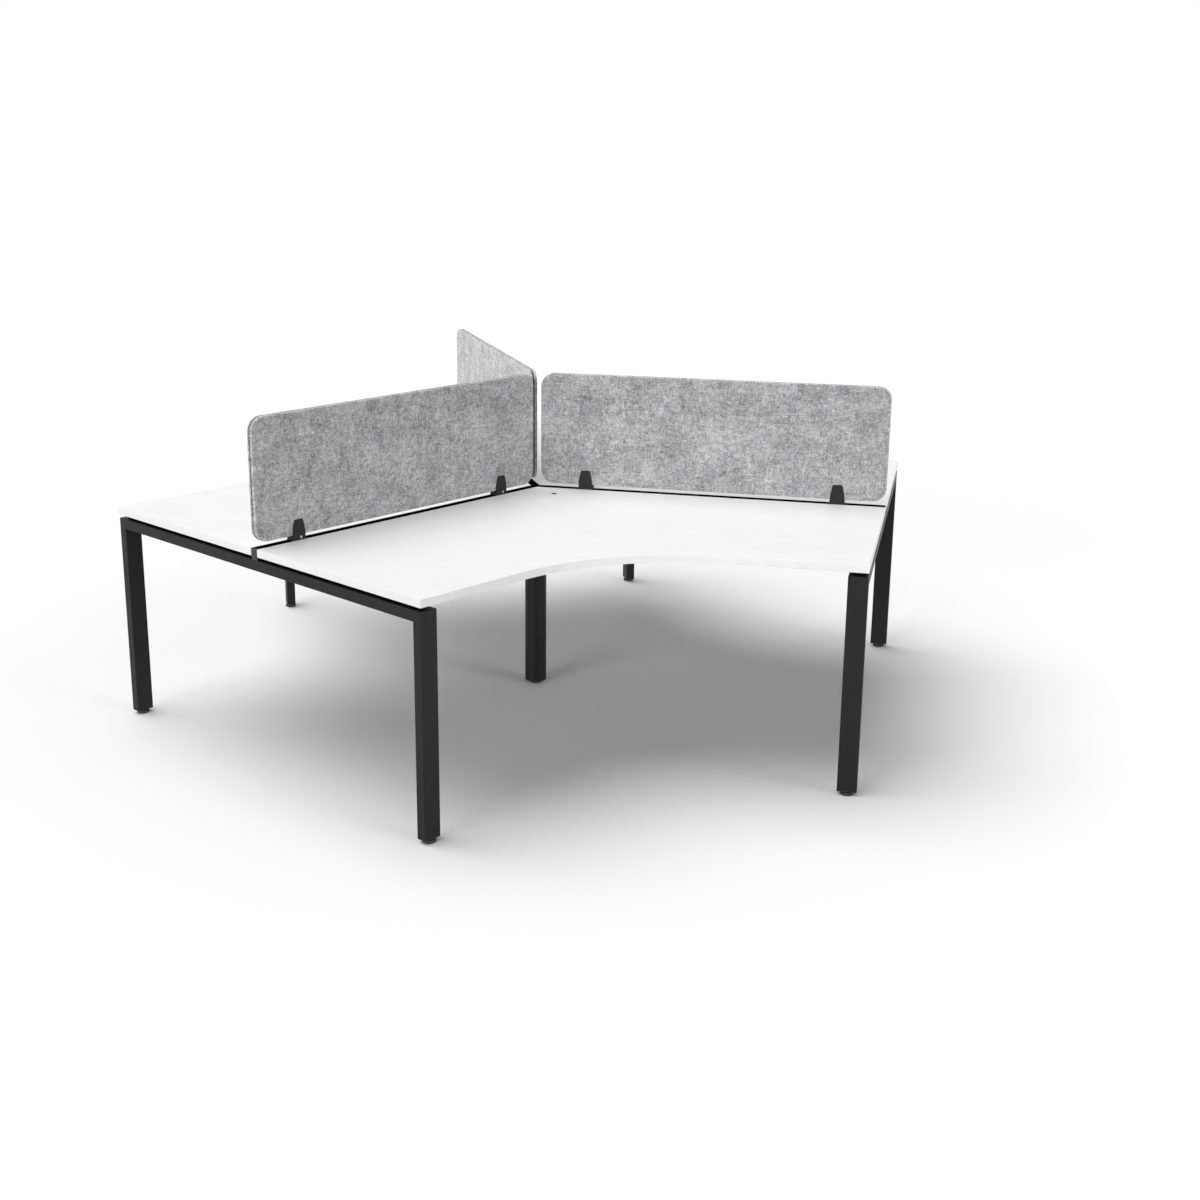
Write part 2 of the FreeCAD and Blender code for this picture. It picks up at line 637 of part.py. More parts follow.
def levelling_foot(name, place):
    """Moulded pad on its steel stud."""
    body = new_body(f"foot_{name}", place)
    radius = "Sizes.foot_diameter / 2"
    stud = "Sizes.stud_diameter / 2"
    revolve(body, (
        ("0", "0"),
        (f"{radius} - Sizes.foot_edge", "0"),
        (radius, "Sizes.foot_edge"),
        (radius, "Sizes.foot_height - Sizes.foot_edge"),
        (f"{radius} - Sizes.foot_edge", "Sizes.foot_height"),
        (stud, "Sizes.foot_height"),
        (stud, STUD_TOP),
        ("0", STUD_TOP),
    ))
    keep(body)


# Spine rails with their end caps


def flange_and_stem(sketch):
    """Draw the outside of a spine rail: a flange that carries the tops and a stem between them."""
    flange_top = UNDERSIDE
    polygon(sketch, (
        (f"-{FLANGE_HALF}", FRAME_TOP),
        (FLANGE_HALF, FRAME_TOP),
        (FLANGE_HALF, flange_top),
        (SPINE_HALF, flange_top),
        (SPINE_HALF, SPINE_TOP),
        (f"-{SPINE_HALF}", SPINE_TOP),
        (f"-{SPINE_HALF}", flange_top),
        (f"-{FLANGE_HALF}", flange_top),
    ))


def spine_rail(name, turn):
    """Extruded rail with three chambers, mitred at the centre and with its flange cut back at the end."""
    body = new_body(f"spine_rail_{name}", turned(turn))
    outline = new_sketch(body, "YZ_Plane")
    flange_and_stem(outline)
    pad(body, outline, SPINE_END)
    wall = "Sizes.spine_wall"
    chambers = new_sketch(body, "YZ_Plane")
    stem = f"({SPINE_HALF} - {wall})"
    rectangle(chambers, f"-{stem}", stem, f"{FRAME_TOP} + {wall}", f"{SPINE_TOP} - {wall}")
    flange = f"({FLANGE_HALF} - {wall})"
    for left, right in ((f"-{flange}", f"-{SPINE_HALF}"), (SPINE_HALF, flange)):
        rectangle(chambers, left, right, f"{FRAME_TOP} + {wall}", f"{UNDERSIDE} - {wall}")
    pocket(body, chambers)
    point = new_sketch(body, "XY_Plane")
    far = f"({FLANGE_HALF} + Sizes.cut_overrun)"
    slope = f"(Sizes.mitre_gap + {far} / tan(60))"
    polygon(point, (
        ("Sizes.mitre_gap", "0"),
        (slope, far),
        ("-Sizes.cut_overrun", far),
        ("-Sizes.cut_overrun", f"-{far}"),
        (slope, f"-{far}"),
    ))
    pocket(body, point)
    flange_ends = new_sketch(body, "XY_Plane")
    for left, right in ((f"-{far}", f"-{SPINE_HALF}"), (SPINE_HALF, far)):
        rectangle(flange_ends, SPACER_FACE, f"{SPINE_END} + Sizes.cut_overrun", left, right)
    pocket(body, flange_ends)
    top_holes = new_sketch(body, "XY_Plane", FRAME_TOP)
    for share in TOP_SCREW_SHARES:
        for side in (1, -1):
            reach = share_of(share, FRAME_END)
            circle(top_holes, reach, f"{side} * {TOP_SCREW}", "Sizes.screw_diameter / 2 + Sizes.hole_clearance")
    pocket(body, top_holes)
    floor_holes = new_sketch(body, "XY_Plane", FRAME_TOP)
    for share in RAIL_SCREW_SHARES:
        reach = share_of(share, RAIL_FACE)
        circle(floor_holes, reach, "0", "Sizes.rail_screw_diameter / 2 + Sizes.thread_clearance")
    pocket(body, floor_holes, "2 * Sizes.spine_wall", upwards=True)
    clamp_holes = new_sketch(body, "XY_Plane", SPINE_TOP)
    for reach in CLAMP_PLACES:
        circle(clamp_holes, reach, "0", "Sizes.clamp_bolt_diameter / 2 + Sizes.hole_clearance")
    pocket(body, clamp_holes, "2 * Sizes.spine_wall")
    keep(body)


def spine_end_caps():
    """Moulded caps that close the outer ends of the stems, each with a peg inside."""
    body = new_body("end_cap_pattern")
    outline = new_sketch(body, "YZ_Plane", SPINE_END)
    rectangle(outline, f"-{SPINE_HALF}", SPINE_HALF, FRAME_TOP, SPINE_TOP)
    pad(body, outline, "Sizes.end_cap_thickness")
    peg = new_sketch(body, "YZ_Plane", f"{SPINE_END} - Sizes.end_cap_peg")
    margin = "(Sizes.spine_wall + Sizes.peg_clearance)"
    half = f"({SPINE_HALF} - {margin})"
    rectangle(peg, f"-{half}", half, f"{FRAME_TOP} + {margin}", f"{SPINE_TOP} - {margin}")
    pad(body, peg, "Sizes.end_cap_peg")
    group("spine_end_caps", copies(body, [turned(turn) for turn in ARMS.values()]))


# Screens with their clamps


def screen_panel(label, turn, near, thickness, inset):
    """Board of a screen with rounded corners, from its face nearer to -Y."""
    body = new_body(label, turned(turn))
    outline = new_sketch(body, "XZ_Plane", f"-({near} + {thickness})")
    ends = (f"Sizes.screen_start + {inset}", f"{FRAME_END} - {inset}")
    rectangle(outline, *ends, f"{SCREEN_LOW} + {inset}", f"{SCREEN_TOP} - {inset}")
    pad(body, outline, thickness)
    fillet(body, f"Sizes.screen_corner - {inset}", runs_along(1))
    return keep(body)


def screen(name, turn):
    """Two felt panels on a thinner core that stays back from their edges."""
    core_half = "Sizes.core_thickness / 2"
    screen_panel(f"screen_core_{name}", turn, f"-{core_half}", "Sizes.core_thickness", "Sizes.core_inset")
    felt_sides = ((1, core_half, SCREEN_HALF), (2, f"-{SCREEN_HALF}", f"-{SCREEN_HALF}"))
    for number, near, outer_face in felt_sides:
        felt = screen_panel(f"felt_{name}_{number}", turn, near, "Sizes.felt_thickness", "0")
        fillet(felt, "Sizes.felt_edge", lies_at(1, outer_face))


def clamp_places(turn):
    """Return the place of each clamp on an arm."""
    return [turned(turn).multiply(shifted(reach)) for reach in CLAMP_PLACES]


def clamp_block_pattern():
    """Block under a screen, counterbored for its bolt and drilled from its +Y side for a plate's screw."""
    body = new_body("clamp_block_pattern")
    outline = new_sketch(body, "XY_Plane", SPINE_TOP)
    half = "Sizes.clamp_base / 2"
    rectangle(outline, f"-{half}", half, f"-{SCREEN_HALF}", SCREEN_HALF)
    pad(body, outline, "Sizes.block_height")
    bolt = new_sketch(body, "XY_Plane", SPINE_TOP)
    circle(bolt, "0", "0", "Sizes.clamp_bolt_diameter / 2 + Sizes.hole_clearance")
    pocket(body, bolt)
    bore = new_sketch(body, "XY_Plane", SCREEN_LOW)
    circle(bore, "0", "0", COUNTERBORE)
    pocket(body, bore, "Sizes.counterbore_cover + Sizes.clamp_bolt_head_height")
    screw = new_sketch(body, "XZ_Plane", f"-{SCREEN_HALF}")
    circle(screw, CLAMP_SCREW_X, CLAMP_SCREW_Z, "Sizes.clamp_screw_diameter / 2 + Sizes.thread_clearance")
    pocket(body, screw, f"{SCREEN_HALF} - {CLAMP_SCREW_END} + Sizes.pilot_relief", upwards=True)
    return body


def clamp_plate_pattern(label):
    """Plain plate on the +Y side of a screen, with curved sides that lean in and rounded upper corners."""
    body = new_body(label)
    outline = new_sketch(body, "XZ_Plane", f"-{SPINE_HALF}")
    base = "Sizes.clamp_base / 2"
    shoulder = "Sizes.clamp_shoulder / 2"
    tip = "Sizes.clamp_tip / 2"
    shoulder_level = f"{SPINE_TOP} + Sizes.clamp_shoulder_height"
    plate_top = f"{SPINE_TOP} + Sizes.clamp_height"
    right_side = [(base, SPINE_TOP), (shoulder, shoulder_level), (tip, plate_top)]
    left_side = [(f"-{x}", z) for x, z in reversed(right_side)]
    polygon(outline, right_side + left_side)
    pad(body, outline, "Sizes.clamp_thickness")
    across = runs_along(1)
    for radius, level in (("Sizes.clamp_corner", plate_top), ("Sizes.clamp_side_curve", shoulder_level)):
        at_level = lies_at(2, level)
        fillet(body, radius, lambda edge: at_level(edge) and across(edge))
    return body


def drilled_plate_pattern():
    """The same plate with a countersunk hole for its screw."""
    body = clamp_plate_pattern("drilled_plate_pattern")
    hole = new_sketch(body, "XZ_Plane", f"-{SPINE_HALF}")
    hole_radius = "Sizes.clamp_screw_diameter / 2 + Sizes.hole_clearance"
    circle(hole, CLAMP_SCREW_X, CLAMP_SCREW_Z, hole_radius)
    pocket(body, hole)
    at_face = lies_at(1, SPINE_HALF)

    def hole_edge(edge):
        return edge.Curve.TypeId == "Part::GeomCircle" and edge.Closed and at_face(edge)

    dress(body, "Chamfer", "Size", f"Sizes.clamp_screw_head / 2 - ({hole_radius})", hole_edge)
    return body


def clamp_screw_pattern():
    """Countersunk screw with a hexagon socket, drawn along Z from its head at zero height."""
    body = new_body("clamp_screw_pattern")
    shank = "Sizes.clamp_screw_diameter / 2"
    head = "(Sizes.clamp_screw_head / 2 - Sizes.countersink_clearance)"
    length = f"({SPINE_HALF} - {CLAMP_SCREW_END})"
    revolve(body, (
        ("0", "0"),
        (head, "0"),
        (shank, f"-({head} - {shank})"),
        (shank, f"-{length}"),
        ("0", f"-{length}"),
    ))
    socket = new_sketch(body, "XY_Plane")
    hexagon(socket, "Sizes.socket_width")
    pocket(body, socket, "Sizes.socket_depth")
    return body


def hexagon(sketch, width):
    """Draw a hexagon about the middle, given across its flats."""
    radius = f"({width} / 2 / cos(30))"
    flat = f"({width} / 2)"
    polygon(sketch, (
        (radius, "0"),
        (f"{radius} / 2", flat),
        (f"-{radius} / 2", flat),
        (f"-{radius}", "0"),
        (f"-{radius} / 2", f"-{flat}"),
        (f"{radius} / 2", f"-{flat}"),
    ))


def clamps():
    """Blocks, plates, screws and bolts of the six clamps."""
    block = clamp_block_pattern()
    plain_plate = clamp_plate_pattern("plain_plate_pattern")
    drilled_plate = drilled_plate_pattern()
    screw = clamp_screw_pattern()
    bolt = clamp_bolt_pattern()
    nut = nut_pattern("clamp_nut_pattern", "clamp_nut_width", "clamp_nut_height", "clamp_bolt_diameter")
    upright = FreeCAD.Rotation(FreeCAD.Vector(0, 0, 1), FreeCAD.Vector(0, 1, 0))
    screw_seat = FreeCAD.Vector(amount(CLAMP_SCREW_X), amount(SPINE_HALF), amount(CLAMP_SCREW_Z))
    screw_place = FreeCAD.Placement(screw_seat, upright)
    blocks = []
    screws = []
    bolts = []
    for name, turn in ARMS.items():
        places = clamp_places(turn)
        blocks += copies(block, places)
        other_side = [place.multiply(turned(HALF_TURN)) for place in places]
        group(f"clamp_plates_{name}", copies(drilled_plate, places) + copies(plain_plate, other_side))
        screws += copies(screw, [place.multiply(screw_place) for place in places])
        bolts += copies(bolt, [place.multiply(shifted("0", "0", BOLT_SEAT)) for place in places])
        bolts += copies(nut, [place.multiply(shifted("0", "0", CLAMP_NUT_LOW)) for place in places])
    group("clamp_blocks", blocks)
    group("clamp_screws", screws)
    group("clamp_bolts", bolts)


# Cable grommets


def grommet_liner(name, turn):
    """Liner with its flange let into the surface and a ledge for the cap."""
    body = new_body(f"grommet_liner_{name}", turned(turn).multiply(shifted("Sizes.grommet_offset")))
    revolve(body, (
        (SLEEVE_BORE, f"{UNDERSIDE} - Sizes.sleeve_drop"),
        (SLEEVE_R, f"{UNDERSIDE} - Sizes.sleeve_drop"),
        (SLEEVE_R, "Sizes.desk_height - Sizes.grommet_flange"),
        (GROMMET_R, "Sizes.desk_height - Sizes.grommet_flange"),
        (GROMMET_R, "Sizes.desk_height"),
        (RECESS_R, "Sizes.desk_height"),
        (RECESS_R, LEDGE_Z),
        (SLEEVE_BORE, LEDGE_Z),
    ))
    keep(body)


def grommet_cap(name, turn):
    """Cap that turns in its liner, with an off-centre cable hole."""
    place = turned(turn).multiply(shifted("Sizes.grommet_offset")).multiply(turned(CABLE_HOLE_TURN))
    body = new_body(f"grommet_cap_{name}", place)
    skirt = f"({SLEEVE_BORE} - Sizes.turning_clearance)"
    skirt_low = f"({LID_LOW} - Sizes.lid_skirt)"
    revolve(body, (
        ("0", LID_LOW),
        (f"{skirt} - Sizes.lid_wall", LID_LOW),
        (f"{skirt} - Sizes.lid_wall", skirt_low),
        (skirt, skirt_low),
        (skirt, LID_LOW),
        (f"{RECESS_R} - Sizes.turning_clearance", LID_LOW),
        (f"{RECESS_R} - Sizes.turning_clearance", "Sizes.desk_height"),
        ("0", "Sizes.desk_height"),
    ))
    hole = new_sketch(body, "XY_Plane", "Sizes.desk_height")
    circle(hole, "Sizes.cable_offset", "0", "Sizes.cable_hole / 2")
    pocket(body, hole, "2 * Sizes.lid_thickness")
    keep(body)


# Fasteners of the frame and the tops


def nut_pattern(label, width, height, thread):
    """Hexagon nut on its own middle, upwards from zero height."""
    body = new_body(label)
    outline = new_sketch(body, "XY_Plane")
    hexagon(outline, f"Sizes.{width}")
    circle(outline, "0", "0", f"Sizes.{thread} / 2 + Sizes.thread_clearance")
    pad(body, outline, f"Sizes.{height}")
    return body


def hex_bolt_pattern(label, grip):
    """Hexagon bolt, upwards from the underside of what it holds, with its head below zero height."""
    body = new_body(label)
    head = new_sketch(body, "XY_Plane", "-Sizes.bolt_head_height")
    hexagon(head, "Sizes.bolt_head_width")
    pad(body, head, "Sizes.bolt_head_height")
    shank = new_sketch(body, "XY_Plane")
    circle(shank, "0", "0", "Sizes.bolt_diameter / 2")
    pad(body, shank, f"{grip} + Sizes.nut_height + Sizes.bolt_spare")
    return body


def clamp_bolt_pattern():
    """Cap bolt with a round head above zero height, which reaches down through its nut."""
    body = new_body("clamp_bolt_pattern")
    head = new_sketch(body, "XY_Plane")
    circle(head, "0", "0", "Sizes.clamp_bolt_head / 2")
    pad(body, head, "Sizes.clamp_bolt_head_height")
    low = f"({CLAMP_NUT_LOW} - Sizes.bolt_spare - {BOLT_SEAT})"
    shank = new_sketch(body, "XY_Plane", low)
    circle(shank, "0", "0", "Sizes.clamp_bolt_diameter / 2")
    pad(body, shank, f"-{low}")
    return body


def pointed_screw_pattern(label, length):
    """Screw for board, upwards from the underside of what it holds, with a pan head below zero height."""
    body = new_body(label)
    shank = "Sizes.screw_diameter / 2"
    head = "Sizes.screw_head / 2"
    revolve(body, (
        ("0", "-Sizes.screw_head_height"),
        (head, "-Sizes.screw_head_height"),
        (head, "0"),
        (shank, "0"),
        (shank, f"{length} - Sizes.screw_tip"),
        ("0", length),
    ))
    return body


def rail_screw_pattern():
    """Machine screw, upwards through a beam into the floor of a spine rail."""
    body = new_body("rail_screw_pattern")
    shank = "Sizes.rail_screw_diameter / 2"
    head = "Sizes.rail_screw_head / 2"
    length = "Sizes.tube_width + Sizes.spine_wall + Sizes.rail_screw_end"
    revolve(body, (
        ("0", "-Sizes.rail_screw_head_height"),
        (head, "-Sizes.rail_screw_head_height"),
        (head, "0"),
        (shank, "0"),
        (shank, length),
        ("0", length),
    ))
    return body


def spacers():
    """Drilled strips that hold the tops off the end frames, one on each side of a spine rail."""
    strips = []
    for number, side in enumerate((1, -1), start=1):
        body = new_body(f"spacer_pattern_{number}")
        near = f"{side} * ({FLANGE_HALF} + Sizes.spacer_clearance)"
        far = f"{side} * ({FRAME_SIDE} - Sizes.tube_width)"
        outline = new_sketch(body, "XY_Plane", FRAME_TOP)
        rectangle(outline, SPACER_BACK, SPACER_FACE, *sorted((near, far), key=amount))
        pad(body, outline, "Sizes.shadow_gap")
        holes = new_sketch(body, "XY_Plane", FRAME_TOP)
        for share in SPACER_SHARES:
            across = f"{side} * {share_of(share, FRAME_SIDE)}"
            circle(holes, LEG_REACH, across, "Sizes.screw_diameter / 2 + Sizes.hole_clearance")
        pocket(body, holes)
        strips += copies(body, [turned(turn) for turn in ARMS.values()])
    group("top_spacers", strips)


def frame_screw_places():
    """Return the place of each screw through an end frame and a spacer strip."""
    places = []
    for turn in ARMS.values():
        for side in (1, -1):
            for share in SPACER_SHARES:
                middle = shifted(LEG_REACH, f"{side} * {share_of(share, FRAME_SIDE)}")
                places.append(turned(turn).multiply(middle))
    return places


def fasteners():
    """Bolts, nuts and screws that hold the frame and the tops together."""
    nut = nut_pattern("weld_nut_pattern", "bolt_head_width", "nut_height", "bolt_diameter")
    hub_bolt = hex_bolt_pattern("hub_bolt_pattern", "Sizes.hub_thickness + Sizes.tube_wall")
    end_bolt = hex_bolt_pattern("end_bolt_pattern", "Sizes.plate_thickness + Sizes.tube_wall")
    rail_screw = rail_screw_pattern()
    top_screw = pointed_screw_pattern("top_screw_pattern", "Sizes.shadow_gap + Sizes.screw_bite")
    frame_length = "Sizes.tube_width + Sizes.shadow_gap + Sizes.screw_bite"
    frame_screw = pointed_screw_pattern("frame_screw_pattern", frame_length)
    outwards = FreeCAD.Rotation(FreeCAD.Vector(0, 0, 1), FreeCAD.Vector(1, 0, 0))
    hub_fasteners = []
    end_fasteners = []
    rail_screws = []
    top_screws = []
    for turn in ARMS.values():
        arm = turned(turn)
        for share in HUB_BOLT_SHARES:
            reach = share_of(share, "Sizes.hub_reach")
            hub_fasteners += copies(hub_bolt, [arm.multiply(shifted(reach, "0", HUB_LOW))])
            seat = f"{FRAME_LOW} + Sizes.tube_wall"
            hub_fasteners += copies(nut, [arm.multiply(shifted(reach, "0", seat))])
        for side in (1, -1):
            across = amount(f"{side} * {PLATE_BOLT}")
            level = amount(FRAME_MIDDLE)
            bolt_seat = FreeCAD.Vector(amount(BEAM_END), across, level)
            nut_seat = FreeCAD.Vector(amount(f"{RAIL_FACE} + Sizes.tube_wall"), across, level)
            end_fasteners += copies(end_bolt, [arm.multiply(FreeCAD.Placement(bolt_seat, outwards))])
            end_fasteners += copies(nut, [arm.multiply(FreeCAD.Placement(nut_seat, outwards))])
            for share in TOP_SCREW_SHARES:
                place = shifted(share_of(share, FRAME_END), f"{side} * {TOP_SCREW}", FRAME_TOP)
                top_screws += copies(top_screw, [arm.multiply(place)])
        for share in RAIL_SCREW_SHARES:
            place = shifted(share_of(share, RAIL_FACE), "0", FRAME_LOW)
            rail_screws += copies(rail_screw, [arm.multiply(place)])
    frame_places = [place.multiply(shifted("0", "0", FRAME_LOW)) for place in frame_screw_places()]
    group("hub_bolts", hub_fasteners)
    group("end_plate_bolts", end_fasteners)
    group("rail_screws", rail_screws)
    group("top_screws", top_screws)
    group("frame_screws", copies(frame_screw, frame_places))


# Put the workstation together
for desk_name, desk_turn in DESKS.items():
    desk_top(desk_name, desk_turn)
    edge_band(desk_name, desk_turn)
    grommet_liner(desk_name, desk_turn)
    grommet_cap(desk_name, desk_turn)
for arm_name, arm_turn in ARMS.items():
    frame_rail(arm_name, arm_turn)
    beam(arm_name, arm_turn)
    spine_rail(arm_name, arm_turn)
    screen(arm_name, arm_turn)
    for leg_number, leg_hand in enumerate((1, -1), start=1):
        frame_leg(f"leg_{arm_name}_{leg_number}", arm_turn, leg_hand)
hub_plate()
centre_post()
post_insert()
leg_inserts()
levelling_foot("centre", turned(0))
for leg_name, leg_place in leg_places().items():
    levelling_foot(leg_name, leg_place)
spine_end_caps()
clamps()
spacers()
fasteners()
doc.recompute()

# Check every object, then write the nodes
for item in doc.Objects:
    if {"Invalid", "Error"} & set(item.State):
        raise RuntimeError(f"{item.Label} could not be made: {item.State}")
for node in nodes:
    if node.Shape.isNull() or not node.Shape.isValid():
        raise RuntimeError(f"{node.Label} has no valid shape")
os.makedirs("parts", exist_ok=True)
for node in nodes:
    node.Shape.exportStep(f"parts/{node.Label}.step")
print(f"{len(nodes)} nodes, {sum(len(node.Shape.Solids) for node in nodes)} solids")
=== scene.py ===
"""Looks of the three-seat workstation: finishes, felt panels, threaded feet and a plain studio.

The packed model is the frame. Nodes whose shape is right keep it and get a finish. The felt panels and
the levelling feet are remade as pieces with more detail. Metres, +Z up, origin on the floor under the
centre post.
"""
import math

import bmesh
import bpy
from bpy.props import FloatProperty, FloatVectorProperty, IntProperty, PointerProperty
from mathutils import Matrix, Vector, noise


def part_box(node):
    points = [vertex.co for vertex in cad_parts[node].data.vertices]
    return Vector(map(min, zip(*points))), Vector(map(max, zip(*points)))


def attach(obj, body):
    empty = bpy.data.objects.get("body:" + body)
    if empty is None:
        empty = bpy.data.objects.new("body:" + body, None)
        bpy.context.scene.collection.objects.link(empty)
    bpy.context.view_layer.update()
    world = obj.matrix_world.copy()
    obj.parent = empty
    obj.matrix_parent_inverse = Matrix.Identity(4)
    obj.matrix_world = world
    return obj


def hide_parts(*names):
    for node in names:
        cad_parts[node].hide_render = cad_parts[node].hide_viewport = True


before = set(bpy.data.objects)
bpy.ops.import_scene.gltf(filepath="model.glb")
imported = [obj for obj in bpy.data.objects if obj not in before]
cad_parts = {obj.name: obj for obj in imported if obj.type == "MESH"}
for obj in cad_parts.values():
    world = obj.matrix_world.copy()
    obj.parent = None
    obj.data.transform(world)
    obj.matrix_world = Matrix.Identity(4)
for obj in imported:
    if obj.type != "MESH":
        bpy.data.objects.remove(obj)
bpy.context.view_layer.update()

bl_info = {
    "name": "Three-seat workstation",
    "version": (1, 0, 0),
    "blender": (4, 5, 0),
    "location": "View3D > Sidebar > Workstation",
    "description": "Dresses the packed three-seat workstation and sets up a plain studio",
    "category": "Object",
}

FRAME_BODY = "workstation_frame"
# Arms of the workstation and their directions about Z, in degrees
ARMS = {"left": 210, "right": 330, "back": 90}
# Height where the white face of a grommet ends and its black body begins; the black below is painted shade
# inside the hole
PAINTED_SHADE_TOP = 0.7298
# Felt: corner radius, step of the outline, waves of the cut per metre and how much lighter the cut edge is
# painted, as a painted highlight
FELT_CORNER = 0.045
FELT_STEP = 0.006
CUT_WAVES = 90
EDGE_HIGHLIGHT_FACTOR = 1.45
# A facet of the felt belongs to its face where the cosine of the angle between them is more than this
FACE_COSINE = 0.75
# Pad of a foot: height, and depth of its flutes as a share of its radius
PAD_HEIGHT = 0.012
FLUTE_DEPTH = 0.015
# Stud of a foot: radius over the thread, depth of the thread in pitches, where it begins, and the chamfer
STUD_RADIUS = 0.00495
THREAD_DEPTH = 0.61
THREAD_START = 0.0115
STUD_CHAMFER = 0.0015
STUD_SEGMENTS = 24
# Most of a noise texture's values lie between these
NOISE_LOW = 0.3
NOISE_HIGH = 0.7
# Half the side of the studio floor
FLOOR_REACH = 60
# The photograph's viewpoint: lens and sensor in millimetres, angles in degrees
LENS_LENGTH = 49.93
SENSOR_WIDTH = 36
LENS_SHIFT = (0.0555, -0.0187)
VIEW_REACH = 200
CAMERA_PLACE = (-1.4954, -5.5185, 2.0343)
CAMERA_TILT = 73.985
CAMERA_TURN = -15.079


# Settings


def colour_setting(name, description, default):
    """A colour that the user may change."""
    return FloatVectorProperty(
        name=name, description=description, default=default, subtype="COLOR", size=3, min=0, max=1
    )


def length_setting(name, description, default):
    """A length that the user may change."""
    return FloatProperty(name=name, description=description, default=default, min=0, unit="LENGTH")


def share_setting(name, description, default):
    """A share from none to all that the user may change."""
    return FloatProperty(name=name, description=description, default=default, min=0, max=1, subtype="FACTOR")


def strength_setting(name, description, default):
    """A lamp's strength that the user may change."""
    return FloatProperty(name=name, description=description, default=default, min=0)


def angle_setting(name, description, degrees):
    """An angle that the user may change."""
    return FloatProperty(name=name, description=description, default=math.radians(degrees), subtype="ANGLE")


class WorkstationTops(bpy.types.PropertyGroup):
    """Finish of the desk tops and of the grommets in them"""

    face: colour_setting("Face", "White melamine face", (0.93, 0.93, 0.93))
    band: colour_setting("Edge band", "Plastic band round each top", (0.92, 0.92, 0.915))
    grommet: colour_setting("Grommet", "Moulded cable grommet", (0.88, 0.88, 0.88))
    grain: length_setting("Grain", "Size of the face's fine texture", 0.0012)
    roughness: share_setting("Roughness", "Roughness of the melamine", 0.42)


class WorkstationFrame(bpy.types.PropertyGroup):
    """Finish of the black steel and aluminium"""

    coat: colour_setting("Powder coat", "Colour of the steel frame", (0.005, 0.005, 0.0053))
    spine: colour_setting("Spine rail", "Colour of the matt black rails", (0.004, 0.004, 0.004))
    clamp: colour_setting("Clamp", "Colour of the screen clamps", (0.008, 0.008, 0.0084))
    grain: length_setting("Grain", "Size of the coat's orange peel", 0.0014)
    roughness: share_setting("Roughness", "Roughness of the coat", 0.48)


class WorkstationScreens(bpy.types.PropertyGroup):
    """Felt of the screens"""

    dark: colour_setting("Dark fibre", "Darkest fibres of the marl", (0.096, 0.096, 0.102))
    middle: colour_setting("Main fibre", "Most of the marl", (0.350, 0.350, 0.352))
    light: colour_setting("Light fibre", "Lightest fibres of the marl", (0.67, 0.67, 0.666))
    core: colour_setting("Core", "Board between the felt panels", (0.035, 0.035, 0.036))
    fleck: length_setting("Fleck", "Size of the marl's flecks", 0.0045)
    fuzz: length_setting("Fuzz", "How uneven the cut edge is", 0.0004)


class WorkstationHardware(bpy.types.PropertyGroup):
    """Feet, screws and other small pieces"""

    plastic: colour_setting("Plastic", "Black moulded plastic", (0.014, 0.014, 0.014))
    steel: colour_setting("Bright steel", "Zinc plated screws and studs", (0.62, 0.62, 0.61))
    thread_pitch: length_setting("Thread pitch", "Pitch of the foot's thread", 0.0015)
    flutes: IntProperty(
        name="Flutes", description="Grip flutes round a foot's pad", default=24, min=6, max=60
    )


class WorkstationStage(bpy.types.PropertyGroup):
    """Floor, light and camera"""

    floor: colour_setting("Floor", "Pale studio floor", (0.90, 0.90, 0.90))
    floor_return: share_setting(
        "Floor return", "Share of the floor's colour in the light that it throws back", 0.45
    )
    floor_lift: share_setting("Floor lift", "White that the floor adds far from the workstation", 0.12)
    lift_start: length_setting("Lift start", "Distance from the post where that white begins", 1.2)
    lift_end: length_setting("Lift end", "Distance from the post where that white is full", 2.4)
    ambient: share_setting("Ambient", "Level of the soft light from all round", 0.162)
    key: strength_setting("Key lamp", "Strength of the lamp above, on the left", 2.40)
    key_spread: angle_setting("Key spread", "How wide the key lamp looks", 60)
    key_height: angle_setting("Key height", "Key lamp above the horizon", 70)
    key_side: angle_setting("Key side", "Key lamp's direction about Z", 150)
    low_spread: angle_setting("Low spread", "How wide each low lamp looks", 30)
    low_height: angle_setting("Low height", "Both low lamps above the horizon", 6)
    left: strength_setting("Left lamp", "Strength of the low lamp in front, on the left", 2.08)
    left_side: angle_setting("Left side", "Left lamp's direction about Z", 215)
    right: strength_setting("Right lamp", "Strength of the low lamp in front, on the right", 1.62)
    right_side: angle_setting("Right side", "Right lamp's direction about Z", 310)


SETTINGS = {
    "workstation_tops": WorkstationTops,
    "workstation_frame": WorkstationFrame,
    "workstation_screens": WorkstationScreens,
    "workstation_hardware": WorkstationHardware,
    "workstation_stage": WorkstationStage,
}


# Materials


def new_finish(name, colour, roughness, gloss=0.5):
    """A material with one Principled shader of this colour, roughness and specular level."""
    material = bpy.data.materials.new(name)
    material.use_nodes = True
    shader = material.node_tree.nodes["Principled BSDF"]
    shader.inputs["Base Color"].default_value = (*colour, 1)
    shader.inputs["Roughness"].default_value = roughness
    shader.inputs["Specular IOR Level"].default_value = gloss
    return material, shader


def add_node(material, kind, settings=None, **inputs):
    """A new shader node. Settings are its own fields, and inputs are socket values or sockets to link.

    An input such as _0 goes to the socket of that number.
    """
    tree = material.node_tree
    node = tree.nodes.new(kind)
    for field, value in (settings or {}).items():
        setattr(node, field, value)
    for socket, value in inputs.items():
        target = node.inputs[int(socket[1:]) if socket[1:].isdigit() else socket]
        if isinstance(value, bpy.types.NodeSocket):
            tree.links.new(value, target)
        else:
            target.default_value = value
    return node


def object_place(material):
    """Socket with the surface's place in the object, in metres."""
    return add_node(material, "ShaderNodeTexCoord").outputs["Object"]


